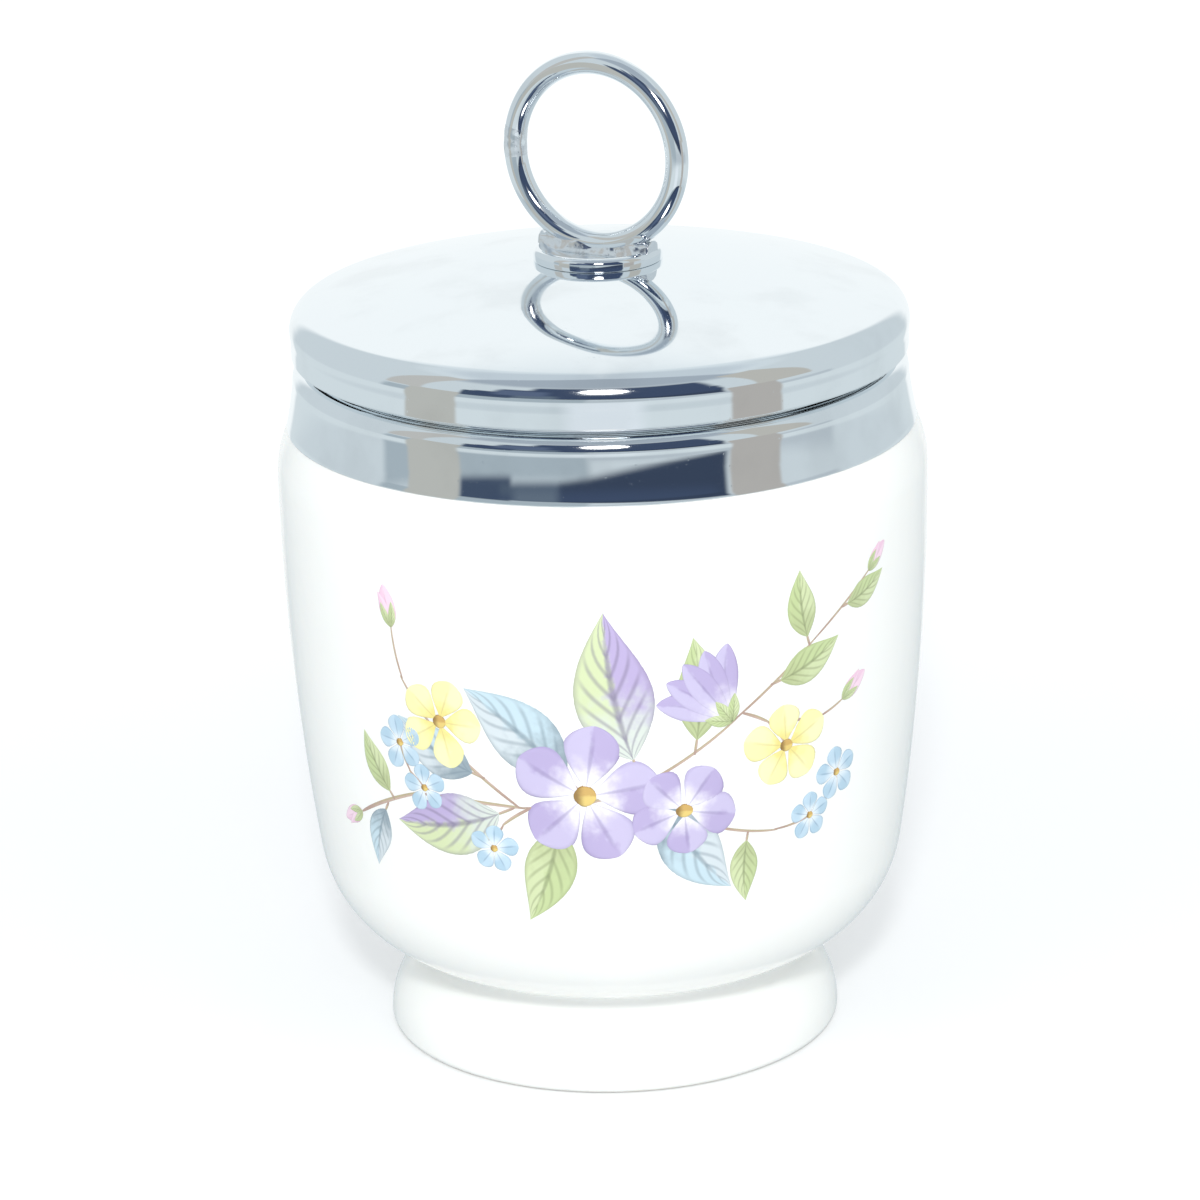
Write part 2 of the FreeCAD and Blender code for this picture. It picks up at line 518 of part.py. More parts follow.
def make_braze(boss):
    """Braze that beds the ring in the boss: a bar along the wire, flush with the boss."""
    bar = doc.addObject("PartDesign::Body", "braze_bar")
    sketch = new_sketch(bar, "bar_plan", "XY_Plane")
    sketch.setExpression("AttachmentOffset.Base.z", "worked.boss_seat")
    sides = ((1, -1), (1, 1), (-1, 1), (-1, -1))
    reach = float(sketch.evalExpression("worked.bar_reach"))
    half = float(sketch.evalExpression("size.braze_width / 2"))
    corners = [FreeCAD.Vector(reach * along, half * aside, 0) for along, aside in sides]
    for start, end in zip(corners, corners[1:] + corners[:1]):
        sketch.addGeometry(Part.LineSegment(start, end), False)
    for index, (along, aside) in enumerate(sides):
        following = (index + 1) % len(sides)
        sketch.addConstraint(Sketcher.Constraint("Coincident", index, 2, following, 1))
        pin(sketch, "DistanceX", (index, 1), f"{along} * worked.bar_reach",
            f"corner_{index}_along")
        pin(sketch, "DistanceY", (index, 1), f"{aside} * size.braze_width / 2",
            f"corner_{index}_aside")
    pad = bar.newObject("PartDesign::Pad", "bar_height")
    pad.Profile = sketch
    pad.setExpression("Length", "size.braze_height")
    pad.setExpression("TaperAngle", "-size.braze_taper")
    bar.Tip = pad
    turn_upright(bar)

    trim = doc.addObject("Part::Cylinder", "braze_trim")
    trim.setExpression("Radius", "size.braze_reach")
    trim.setExpression("Height", "2 * size.braze_height")
    trim.setExpression("Placement.Base.z", "worked.boss_seat")
    flush = doc.addObject("Part::Common", "braze_flush")
    flush.Base = bar
    flush.Tool = trim
    bedded = doc.addObject("Part::Cut", "braze_on_boss")
    bedded.Base = flush
    bedded.Tool = boss
    braze = doc.addObject("Part::Cut", "ring_braze")
    braze.Base = bedded
    braze.Tool = make_torus("braze_groove", "worked.groove_radius")
    braze.Label = "ring_braze"
    return braze


def make_washer():
    """Backing washer round the spigot, between the lid and the hammered head."""
    return turned_body("backing_washer", (
        ("bottom_inner", "worked.hole_radius", "worked.washer_bottom"),
        ("bottom_outer", "size.washer_radius", "worked.washer_bottom"),
        ("top_outer", "size.washer_radius", "worked.washer_top"),
        ("top_inner", "worked.hole_radius", "worked.washer_top"),
    ))


def write_parts(pieces):
    """Check every object of the document, then write each piece to its own file."""
    for thing in doc.Objects:
        if "Invalid" in thing.State or "Error" in thing.State:
            raise RuntimeError(f"{thing.Name} failed: {thing.State}")
    for piece in pieces:
        if piece.Shape.isNull() or not piece.Shape.isValid():
            raise RuntimeError(f"{piece.Label} has no valid shape")
    os.makedirs("parts", exist_ok=True)
    for piece in pieces:
        piece.Shape.exportStep(os.path.join("parts", f"{piece.Label}.step"))
        print(f"{piece.Label}: {piece.Shape.Volume:.1f} mm3, {len(piece.Shape.Solids)} solid")


size = make_sheet()
make_worked_sizes()
cup = make_cup()
collar = make_collar()
cement = make_cement()
lid = make_lid()
boss = make_boss()
ring = make_ring()
braze = make_braze(boss)
washer = make_washer()
doc.recompute()
write_parts((cup, collar, cement, lid, boss, ring, braze, washer))
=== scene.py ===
"""Porcelain egg coddler: chromed screw lid with a lifting ring, threaded band, printed cup."""
import logging
import math
import random
from dataclasses import dataclass, field
from enum import Enum

import bpy
from mathutils import Matrix, Vector, noise


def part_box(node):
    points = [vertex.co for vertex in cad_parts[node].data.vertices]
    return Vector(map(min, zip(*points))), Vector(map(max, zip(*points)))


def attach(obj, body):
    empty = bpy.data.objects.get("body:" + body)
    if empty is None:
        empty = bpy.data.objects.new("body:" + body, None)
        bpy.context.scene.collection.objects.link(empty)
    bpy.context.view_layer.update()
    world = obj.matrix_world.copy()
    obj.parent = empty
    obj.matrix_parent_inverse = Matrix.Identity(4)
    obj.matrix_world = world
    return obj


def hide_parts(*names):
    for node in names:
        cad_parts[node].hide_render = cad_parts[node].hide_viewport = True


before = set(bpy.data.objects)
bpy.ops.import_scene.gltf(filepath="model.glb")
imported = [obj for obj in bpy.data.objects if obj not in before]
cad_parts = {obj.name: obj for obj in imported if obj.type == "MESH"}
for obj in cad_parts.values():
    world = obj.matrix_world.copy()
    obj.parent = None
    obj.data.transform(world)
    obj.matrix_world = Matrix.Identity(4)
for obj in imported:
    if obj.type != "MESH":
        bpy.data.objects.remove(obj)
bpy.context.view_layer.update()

log = logging.getLogger("coddler")

MM = 0.001
ON_AXIS = 1e-6
DAB_MAP = "dab"
Point = tuple[float, float]
Span = tuple[float, float]
Colour = tuple[float, float, float, float]
WHITE: Colour = (1.0, 1.0, 1.0, 1.0)
BLACK: Colour = (0.0, 0.0, 0.0, 1.0)


class Body(str, Enum):
    """Rigid bodies that the pieces made here ride on."""

    CUP = "cup"
    LID = "lid"


class Slot(str, Enum):
    """Material slots of the record."""

    PORCELAIN = "porcelain"
    CHROME = "chrome_plate"
    CEMENT = "cement"
    BRAZE = "braze"
    BARE_METAL = "bare_metal"
    PRINT = "print_colours"


class Bend(Enum):
    """Which way an arc of an outline bulges, or a thread stands: out of the piece or in."""

    OUT = 1
    IN = -1


# ---------------------------------------------------------------- shader wiring


@dataclass(frozen=True)
class Grain:
    """Noise of a surface, and the two values of it between which its spots fade in."""

    cells_per_metre: float
    octaves: float = 2.0
    edge: Span = (0.0, 1.0)


class Wiring:
    """Short way of writing a node tree."""

    def __init__(self, tree: bpy.types.NodeTree) -> None:
        """Empty the tree.

        Args:
            tree: Node tree of a material or a world.
        """
        self.tree = tree
        tree.nodes.clear()

    def node(self, kind: str, **settings: object) -> bpy.types.Node:
        """Add a node and set its properties.

        Args:
            kind: Type of the node.
            settings: Properties by name.

        Returns:
            The new node.
        """
        made = self.tree.nodes.new(kind)
        for name, value in settings.items():
            setattr(made, name, value)
        return made

    def feed(self, socket: bpy.types.NodeSocket, value: object) -> None:
        """Link a socket to another, or set its value.

        Args:
            socket: Input to fill.
            value: Output socket, number, colour or vector.
        """
        if isinstance(value, bpy.types.NodeSocket):
            self.tree.links.new(value, socket)
        elif value is not None:
            socket.default_value = value

    def math(self, operation: str, *values: object) -> bpy.types.NodeSocket:
        """Add a Math node.

        Args:
            operation: Name of the operation.
            values: Its inputs, sockets or numbers.

        Returns:
            The result's socket.
        """
        made = self.node("ShaderNodeMath", operation=operation)
        for socket, value in zip(made.inputs, values):
            self.feed(socket, value)
        return made.outputs[0]

    def smooth(self, value: object, low: float, high: float) -> bpy.types.NodeSocket:
        """Ease from 0 to 1 as a value goes from low to high.

        Args:
            value: The value's socket.
            low: Where the result is 0.
            high: Where the result is 1.

        Returns:
            The eased socket.
        """
        made = self.node("ShaderNodeMapRange", interpolation_type="SMOOTHSTEP")
        for socket, number in zip(made.inputs, (value, low, high, 0.0, 1.0)):
            self.feed(socket, number)
        return made.outputs[0]

    def azimuth(self, east: object, north: object) -> bpy.types.NodeSocket:
        """Work out which way a level direction points.

        Args:
            east: Its part to the right.
            north: Its part to the back.

        Returns:
            Degrees to the right of the front.
        """
        south = self.math("MULTIPLY", north, -1.0)
        return self.math("DEGREES", self.math("ARCTAN2", east, south))

    def blend(self, share: object, first: object, second: object) -> bpy.types.NodeSocket:
        """Mix two colours.

        Args:
            share: How much of the second colour shows.
            first: Colour at share 0.
            second: Colour at share 1.

        Returns:
            The mixed colour's socket.
        """
        # The node's sockets for colours are its inputs 6 and 7 and its output 2.
        made = self.node("ShaderNodeMix", data_type="RGBA")
        self.feed(made.inputs[0], share)
        self.feed(made.inputs[6], first)
        self.feed(made.inputs[7], second)
        return made.outputs[2]

    def noise(self, place: object, grain: Grain) -> bpy.types.NodeSocket:
        """Add a noise texture.

        Args:
            place: Coordinates in metres.
            grain: How fine the noise is.

        Returns:
            The noise value's socket.
        """
        made = self.node("ShaderNodeTexNoise")
        self.feed(made.inputs["Vector"], place)
        self.feed(made.inputs["Scale"], grain.cells_per_metre)
        self.feed(made.inputs["Detail"], grain.octaves)
        return made.outputs["Fac"]

    def spots(self, place: object, grain: Grain) -> bpy.types.NodeSocket:
        """Add soft-edged spots where a noise is high.

        Args:
            place: Coordinates in metres.
            grain: The noise and the edge of its spots.

        Returns:
            The socket of a value that is 1 in the spots and 0 between them.
        """
        return self.smooth(self.noise(place, grain), *grain.edge)

    def bump(self, height: object, strength: float, depth: float,
             under: object = None) -> bpy.types.NodeSocket:
        """Add a bump node.

        Args:
            height: Height's socket, 0 to 1.
            strength: Share of the bump that shows.
            depth: Height of 1 in metres.
            under: Normal to add to.

        Returns:
            The bumped normal's socket.
        """
        made = self.node("ShaderNodeBump")
        self.feed(made.inputs["Strength"], strength)
        self.feed(made.inputs["Distance"], depth)
        self.feed(made.inputs["Height"], height)
        self.feed(made.inputs["Normal"], under)
        return made.outputs["Normal"]


def colour(red: float, green: float, blue: float) -> Colour:
    """Turn a colour as a screen shows it, 0 to 255, into the linear one that shaders use.

    Args:
        red: Red, 0 to 255.
        green: Green, 0 to 255.
        blue: Blue, 0 to 255.

    Returns:
        Linear red, green, blue and an alpha of 1.
    """
    def linear(value: float) -> float:
        """Undo the screen's curve for one channel."""
        share = value / 255
        return share / 12.92 if share <= 0.04045 else ((share + 0.055) / 1.055) ** 2.4

    return (linear(red), linear(green), linear(blue), 1.0)


def dimmed(shade: Colour, share: float) -> Colour:
    """Darken a colour.

    Args:
        shade: The colour.
        share: How much of its brightness stays.

    Returns:
        The darker colour.
    """
    red, green, blue, _ = shade
    return (share * red, share * green, share * blue, 1.0)


# --------------------------------------------------------------------- finishes


@dataclass(frozen=True)
class Finish:
    """What all finishes share: a name, a slot of the record and a principled shader."""

    name: str
    slot: Slot

    def material(self) -> bpy.types.Material:
        """Find the finish's material, or make it the first time.

        Returns:
            The material.
        """
        found = bpy.data.materials.get(self.name)
        if found:
            return found
        made = bpy.data.materials.new(self.name)
        made.use_nodes = True
        wires = Wiring(made.node_tree)
        shader = wires.node("ShaderNodeBsdfPrincipled")
        place = wires.node("ShaderNodeTexCoord").outputs["Object"]
        self.wire(wires, shader, place)
        out = wires.node("ShaderNodeOutputMaterial")
        wires.feed(out.inputs["Surface"], shader.outputs["BSDF"])
        return made

    def wire(self, wires: Wiring, shader: bpy.types.Node,
             place: bpy.types.NodeSocket) -> None:
        """Set up the shader; each finish has its own.

        Args:
            wires: The material's wiring.
            shader: Its principled shader.
            place: Object coordinates in metres.
        """
        raise NotImplementedError

    def dress(self, piece: bpy.types.Object) -> None:
        """Give a piece this finish.

        Args:
            piece: Mesh object.
        """
        piece.data.materials.clear()
        piece.data.materials.append(self.material())


@dataclass(frozen=True)
class Chrome(Finish):
    """Bright plating: mirror with faint handling haze, fine specks and a slightly wavy skin."""

    slot: Slot = Slot.CHROME
    tint: Colour = (0.90, 0.93, 0.95, 1.0)
    roughness: float = 0.035
    smudge: Grain = Grain(120.0, 4.0, (0.48, 0.72))
    smudge_tone: float = 0.93
    smudge_haze: float = 0.05
    speck: Grain = Grain(2600.0, 2.0, (0.70, 0.78))
    speck_roughness: float = 0.10
    speck_strength: float = 0.08
    speck_depth: float = 0.02 * MM
    wave: Grain = Grain(90.0, 1.0)
    wave_strength: float = 0.004
    wave_depth: float = 10.0 * MM

    def wire(self, wires: Wiring, shader: bpy.types.Node,
             place: bpy.types.NodeSocket) -> None:
        """Set up the plating.

        Args:
            wires: The material's wiring.
            shader: Its principled shader.
            place: Object coordinates in metres.
        """
        smudge = wires.spots(place, self.smudge)
        speck = wires.spots(place, self.speck)
        rough = wires.math("MULTIPLY_ADD", smudge, self.smudge_haze, self.roughness)
        rough = wires.math("MULTIPLY_ADD", speck, self.speck_roughness, rough)
        wires.feed(shader.inputs["Roughness"], rough)
        shader.inputs["Metallic"].default_value = 1.0
        dulled = dimmed(self.tint, self.smudge_tone)
        wires.feed(shader.inputs["Base Color"], wires.blend(smudge, self.tint, dulled))
        skin = wires.bump(wires.noise(place, self.wave), self.wave_strength, self.wave_depth)
        wires.feed(shader.inputs["Normal"],
                   wires.bump(speck, self.speck_strength, self.speck_depth, skin))


@dataclass(frozen=True)
class Porcelain(Finish):
    """White glazed bone china, bare and a little rougher where the foot stands."""

    slot: Slot = Slot.PORCELAIN
    glaze: Colour = (0.915, 0.925, 0.90, 1.0)
    bare: Colour = (0.84, 0.81, 0.74, 1.0)
    bare_height: float = 0.25 * MM
    bare_edge: Span = (0.4, 1.6)
    wobble: Grain = Grain(900.0, 3.0)
    wobble_height: float = 0.3 * MM
    cloud: Grain = Grain(60.0, 3.0)
    cloud_tone: float = 0.985
    roughness: float = 0.08
    bare_roughness: float = 0.56
    pits: Grain = Grain(3200.0, 1.0, (0.74, 0.80))
    pit_roughness: float = 0.12
    pit_strength: float = 0.15
    pit_depth: float = 0.03 * MM
    peel: Grain = Grain(260.0, 2.0)
    peel_strength: float = 0.02
    peel_depth: float = 1.0 * MM
    refraction: float = 1.52
    inner_light: float = 0.12
    inner_colours: tuple[float, float, float] = (1.0, 0.85, 0.7)
    inner_depth: float = 0.8 * MM

    def wire(self, wires: Wiring, shader: bpy.types.Node,
             place: bpy.types.NodeSocket) -> None:
        """Set up the glaze.

        Args:
            wires: The material's wiring.
            shader: Its principled shader.
            place: Object coordinates in metres.
        """
        height = wires.node("ShaderNodeSeparateXYZ")
        wires.feed(height.inputs[0], place)
        wobble = wires.math("MULTIPLY_ADD", wires.noise(place, self.wobble),
                            self.wobble_height, -self.wobble_height / 2)
        level = wires.math("ADD", height.outputs["Z"], wobble)
        edge = [self.bare_height * share for share in self.bare_edge]
        glazed = wires.smooth(level, *edge)
        cloud = wires.noise(place, self.cloud)
        shade = wires.blend(cloud, self.glaze, dimmed(self.glaze, self.cloud_tone))
        wires.feed(shader.inputs["Base Color"], wires.blend(glazed, self.bare, shade))
        pits = wires.spots(place, self.pits)
        rough = wires.math("MULTIPLY_ADD", glazed, self.roughness - self.bare_roughness,
                           self.bare_roughness)
        wires.feed(shader.inputs["Roughness"],
                   wires.math("MULTIPLY_ADD", pits, self.pit_roughness, rough))
        shader.inputs["IOR"].default_value = self.refraction
        shader.inputs["Subsurface Weight"].default_value = self.inner_light
        shader.inputs["Subsurface Radius"].default_value = self.inner_colours
        shader.inputs["Subsurface Scale"].default_value = self.inner_depth
        peel = wires.bump(wires.noise(place, self.peel), self.peel_strength, self.peel_depth)
        wires.feed(shader.inputs["Normal"],
                   wires.bump(pits, self.pit_strength, self.pit_depth, peel))


@dataclass(frozen=True)
class Cement(Finish):
    """Grey-buff fixing cement with sand grains."""

    slot: Slot = Slot.CEMENT
    base: Colour = (0.62, 0.59, 0.53, 1.0)
    dark: Colour = (0.42, 0.39, 0.34, 1.0)
    roughness: float = 0.9
    sand: Grain = Grain(2400.0, 4.0, (0.35, 0.65))
    sand_strength: float = 0.5
    sand_depth: float = 0.2 * MM

    def wire(self, wires: Wiring, shader: bpy.types.Node,
             place: bpy.types.NodeSocket) -> None:
        """Set up the cement.

        Args:
            wires: The material's wiring.
            shader: Its principled shader.
            place: Object coordinates in metres.
        """
        sand = wires.noise(place, self.sand)
        grains = wires.smooth(sand, *self.sand.edge)
        wires.feed(shader.inputs["Base Color"], wires.blend(grains, self.dark, self.base))
        shader.inputs["Roughness"].default_value = self.roughness
        wires.feed(shader.inputs["Normal"],
                   wires.bump(sand, self.sand_strength, self.sand_depth))


@dataclass(frozen=True)
class BareSteel(Finish):
    """Stamped plain steel with fine turning lines and a few stains."""

    slot: Slot = Slot.BARE_METAL
    base: Colour = (0.60, 0.59, 0.56, 1.0)
    stain: Colour = (0.40, 0.34, 0.26, 1.0)
    roughness: float = 0.3
    patches: Grain = Grain(420.0, 4.0, (0.55, 0.75))
    patch_roughness: float = 0.25
    line_scale: float = 1800.0
    line_wander: float = 1.5
    line_strength: float = 0.25
    line_depth: float = 0.02 * MM

    def wire(self, wires: Wiring, shader: bpy.types.Node,
             place: bpy.types.NodeSocket) -> None:
        """Set up the steel.

        Args:
            wires: The material's wiring.
            shader: Its principled shader.
            place: Object coordinates in metres.
        """
        patches = wires.spots(place, self.patches)
        wires.feed(shader.inputs["Base Color"], wires.blend(patches, self.base, self.stain))
        rough = wires.math("MULTIPLY_ADD", patches, self.patch_roughness, self.roughness)
        wires.feed(shader.inputs["Roughness"], rough)
        shader.inputs["Metallic"].default_value = 1.0
        lines = wires.node("ShaderNodeTexWave", wave_type="RINGS", rings_direction="Z")
        wires.feed(lines.inputs["Vector"], place)
        lines.inputs["Scale"].default_value = self.line_scale
        lines.inputs["Distortion"].default_value = self.line_wander
        wires.feed(shader.inputs["Normal"],
                   wires.bump(lines.outputs["Fac"], self.line_strength, self.line_depth))


@dataclass(frozen=True)
class Braze(Finish):
    """Plated-over braze: bright, lumpy and pitted."""

    slot: Slot = Slot.BRAZE
    tint: Colour = (0.84, 0.86, 0.88, 1.0)
    stain: Colour = (0.50, 0.47, 0.45, 1.0)
    roughness: float = 0.16
    stains: Grain = Grain(800.0, 3.0, (0.56, 0.74))
    stain_share: float = 0.6
    stain_roughness: float = 0.3
    lumps: Grain = Grain(520.0, 2.0)
    lump_strength: float = 0.35
    lump_depth: float = 0.3 * MM
    pits: Grain = Grain(2400.0, 2.0, (0.62, 0.72))
    pit_strength: float = 0.25
    pit_depth: float = 0.04 * MM

    def wire(self, wires: Wiring, shader: bpy.types.Node,
             place: bpy.types.NodeSocket) -> None:
        """Set up the braze.

        Args:
            wires: The material's wiring.
            shader: Its principled shader.
            place: Object coordinates in metres.
        """
        stains = wires.math("MULTIPLY", wires.spots(place, self.stains), self.stain_share)
        wires.feed(shader.inputs["Base Color"], wires.blend(stains, self.tint, self.stain))
        rough = wires.math("MULTIPLY_ADD", stains, self.stain_roughness, self.roughness)
        wires.feed(shader.inputs["Roughness"], rough)
        shader.inputs["Metallic"].default_value = 1.0
        lumps = wires.bump(wires.noise(place, self.lumps), self.lump_strength, self.lump_depth)
        pits = wires.spots(place, self.pits)
        wires.feed(shader.inputs["Normal"],
                   wires.bump(pits, self.pit_strength, self.pit_depth, lumps))


@dataclass(frozen=True)
class Ink(Finish):
    """Enamel colour of the print, fired under a gloss like the glaze's.

    Each dab of it has a map that says how far along and how far across a point lies, and
    the spans say between which places of that map a colour fades in.
    """

    slot: Slot = Slot.PRINT
    heart: Colour = colour(235, 235, 240)
    body: Colour = colour(180, 170, 210)
    flank: Colour = colour(180, 170, 210)
    vein: Colour = colour(110, 100, 150)
    hand: Grain = Grain(900.0, 3.0)
    hand_shake: float = 0.5
    flank_span: Span = (0.42, 0.6)
    heart_span: Span = (0.55, 0.08)
    veins: float = 6.0
    slant: float = 0.35
    vein_share: float = 0.55
    vein_crest: Span = (0.45, 1.0)
    vein_fade: Span = (1.0, 0.55)
    rib_share: float = 0.6
    rib_side: Span = (0.13, 0.02)
    rib_tip: Span = (0.97, 0.6)
    edge_share: float = 0.35
    edge_span: Span = (0.78, 1.0)
    roughness: float = 0.1
    enamel: Grain = Grain(2800.0, 2.0)
    enamel_roughness: float = 0.1
    enamel_strength: float = 0.05
    enamel_depth: float = 0.03 * MM
    refraction: float = 1.52

    def wire(self, wires: Wiring, shader: bpy.types.Node,
             place: bpy.types.NodeSocket) -> None:
        """Set up the enamel.

        Args:
            wires: The material's wiring.
            shader: Its principled shader.
            place: Object coordinates in metres.
        """
        dab = wires.node("ShaderNodeSeparateXYZ")
        wires.feed(dab.inputs[0], wires.node("ShaderNodeUVMap", uv_map=DAB_MAP).outputs[0])
        along, across = dab.outputs["X"], dab.outputs["Y"]
        hand = wires.math("MULTIPLY_ADD", wires.noise(place, self.hand),
                          self.hand_shake, -self.hand_shake / 2)
        off = wires.math("ABSOLUTE", wires.math("MULTIPLY_ADD", across, 2.0, -1.0))
        side = wires.smooth(wires.math("ADD", across, hand), *self.flank_span)
        wash = wires.blend(side, self.body, self.flank)
        near = wires.smooth(wires.math("ADD", along, hand), *self.heart_span)
        wash = wires.blend(near, wash, self.heart)
        wash = self.veined(wires, wash, along, off)
        edge = wires.math("MULTIPLY", wires.smooth(off, *self.edge_span), self.edge_share)
        wires.feed(shader.inputs["Base Color"], wires.blend(edge, wash, self.vein))
        grain = wires.noise(place, self.enamel)
        rough = wires.math("MULTIPLY_ADD", grain, self.enamel_roughness, self.roughness)
        wires.feed(shader.inputs["Roughness"], rough)
        shader.inputs["IOR"].default_value = self.refraction
        wires.feed(shader.inputs["Normal"],
                   wires.bump(grain, self.enamel_strength, self.enamel_depth))

    def veined(self, wires: Wiring, wash: bpy.types.NodeSocket, along: bpy.types.NodeSocket,
               off: bpy.types.NodeSocket) -> bpy.types.NodeSocket:
        """Draw slanting side veins and a middle rib over the wash.

        Args:
            wires: The material's wiring.
            wash: Colour under the veins.
            along: How far along the dab a point lies.
            off: How far from the dab's middle it lies.

        Returns:
            The veined colour's socket.
        """
        repeat = wires.math("MULTIPLY", along, self.veins)
        phase = wires.math("MULTIPLY_ADD", off, -self.slant * self.veins, repeat)
        part = wires.math("FRACT", phase)
        wave = wires.math("ABSOLUTE", wires.math("MULTIPLY_ADD", part, 2.0, -1.0))
        line = wires.math("MULTIPLY", wires.smooth(wave, *self.vein_crest),
                          wires.smooth(off, *self.vein_fade))
        wash = wires.blend(wires.math("MULTIPLY", line, self.vein_share), wash, self.vein)
        rib = wires.math("MULTIPLY", wires.smooth(off, *self.rib_side),
                         wires.smooth(along, *self.rib_tip))
        return wires.blend(wires.math("MULTIPLY", rib, self.rib_share), wash, self.vein)


@dataclass(frozen=True)
class PlainInk(Ink):
    """Ink of petals, stems and flower eyes, which have no side veins."""

    veins: float = 0.0
    vein_share: float = 0.0
    rib_share: float = 0.0


CHROME_LID = Chrome("polished_chrome")
CHROME_WIRE = Chrome("chrome_wire", smudge_haze=0.03, wave=Grain(260.0, 1.0),
                     wave_strength=0.003)
PORCELAIN = Porcelain("glazed_porcelain")
CEMENT = Cement("fixing_cement")
STEEL = BareSteel("bare_steel")
BRAZE = Braze("plated_braze")
LEAF_GREEN = Ink("ink_leaf_green", heart=colour(184, 196, 148), body=colour(206, 218, 172),
                 flank=colour(192, 208, 154), vein=colour(132, 142, 104), vein_share=0.45)
LEAF_BLUE = Ink("ink_leaf_blue", heart=colour(146, 162, 172), body=colour(194, 216, 226),
                flank=colour(208, 218, 223), vein=colour(120, 138, 150), vein_share=0.45)
LEAF_LILAC = Ink("ink_leaf_lilac", heart=colour(212, 220, 212), body=colour(184, 170, 210),
                 flank=colour(208, 220, 176), vein=colour(122, 114, 140), veins=7.0,
                 vein_share=0.5)
PETAL_LILAC = PlainInk("ink_petal_lilac", heart=colour(240, 238, 246),
                       body=colour(182, 170, 210), flank=colour(198, 190, 222),
                       vein=colour(132, 120, 166), rib_share=0.4)
PETAL_BLUE = PlainInk("ink_petal_blue", heart=colour(228, 237, 243),
                      body=colour(176, 204, 222), flank=colour(190, 214, 230),
                      vein=colour(96, 130, 164), rib_share=0.4)
PETAL_YELLOW = PlainInk("ink_petal_yellow", heart=colour(236, 222, 140),
                        body=colour(251, 248, 190), flank=colour(250, 244, 176),
                        vein=colour(190, 176, 120), rib_share=0.35)
PETAL_PINK = PlainInk("ink_petal_pink", heart=colour(222, 172, 200),
                      body=colour(242, 214, 230), flank=colour(236, 200, 222),
                      vein=colour(190, 140, 170), rib_share=0.35)
STEM_BROWN = PlainInk("ink_stem", heart=colour(176, 150, 138), body=colour(196, 172, 158),
                      flank=colour(182, 170, 140), vein=colour(150, 120, 110))
EYE_GOLD = PlainInk("ink_eye", heart=colour(150, 120, 70), body=colour(226, 200, 120),
                    flank=colour(206, 170, 100), vein=colour(130, 96, 60), edge_share=0.6)


# ------------------------------------------------------------------ mesh making


@dataclass
class Outline:
    """Outline of a turned piece as (radius, height) points in millimetres.

    An arc gets a chord for each so many degrees, its fineness.
    """

    points: list[Point] = field(default_factory=list)
    fineness: float = 3.0

    def to(self, radius: float, height: float) -> "Outline":
        """Go straight to a point.

        Args:
            radius: Distance from the axis.
            height: Height above the foot.

        Returns:
            The outline itself.
        """
        self.points.append((radius, height))
        return self

    def arc(self, radius: float, height: float, bend: float, side: Bend = Bend.OUT,
            steps: int = 0) -> "Outline":
        """Go to a point along the short arc of a circle.

        Args:
            radius: Distance of the arc's end from the axis.
            height: Height of the arc's end.
            bend: The circle's radius.
            side: Bulge or hollow.
            steps: Number of chords; 0 takes it from the outline's fineness.

        Returns:
            The outline itself.
        """
        start = Vector(self.points[-1])
        end = Vector((radius, height))
        chord = end - start
        inward = math.sqrt(max(bend ** 2 - (chord.length / 2) ** 2, 0.0))
        left = Vector((-chord.y, chord.x)).normalized()
        centre = (start + end) / 2 + left * (inward * side.value)
        first = math.atan2(start.y - centre.y, start.x - centre.x)
        turn = math.atan2(end.y - centre.y, end.x - centre.x) - first
        turn = (turn + math.pi) % (2 * math.pi) - math.pi
        count = steps or max(2, math.ceil(abs(math.degrees(turn)) / self.fineness))
        for step in range(1, count + 1):
            angle = first + turn * step / count
            self.points.append((centre.x + bend * math.cos(angle),
                                centre.y + bend * math.sin(angle)))
        return self


def mesh_object(name: str, vertices: list[Vector], faces: list[tuple[int, ...]],
                sharp_degrees: float = 40.0) -> bpy.types.Object:
    """Make a smooth-shaded mesh object.

    Args:
        name: Name of the object and its mesh.
        vertices: Places in metres.
        faces: Vertex numbers of each face.
        sharp_degrees: Edges that turn by more than this stay sharp.

    Returns:
        The new object, linked to the scene.
    """
    mesh = bpy.data.meshes.new(name)
    mesh.from_pydata(vertices, [], faces)
    mesh.validate()
    mesh.shade_smooth()
    mesh.set_sharp_from_angle(angle=math.radians(sharp_degrees))
    made = bpy.data.objects.new(name, mesh)
    bpy.context.scene.collection.objects.link(made)
    return made


def turned(name: str, outline: Outline, around: int = 256) -> bpy.types.Object:
    """Turn an outline round the Z axis.

    Args:
        name: Name of the object.
        outline: Closed outline with the solid on its left.
        around: Number of facets round the axis.

    Returns:
        The new object.
    """
    vertices: list[Vector] = []
    rows: list[list[int]] = []
    for radius, height in outline.points:
        count = 1 if radius < ON_AXIS else around
        rows.append([len(vertices) + index for index in range(count)])
        for index in range(count):
            angle = 2 * math.pi * index / around
            spot = Vector((radius * math.cos(angle), radius * math.sin(angle), height))
            vertices.append(spot * MM)
    faces: list[tuple[int, ...]] = []
    for here, there in zip(rows, rows[1:] + rows[:1]):
        if len(here) == 1 and len(there) == 1:
            continue
        for index in range(around):
            following = (index + 1) % around
            corners = [here[index % len(here)], here[following % len(here)],
                       there[following % len(there)], there[index % len(there)]]
            faces.append(tuple(dict.fromkeys(corners)))
    return mesh_object(name, vertices, faces)


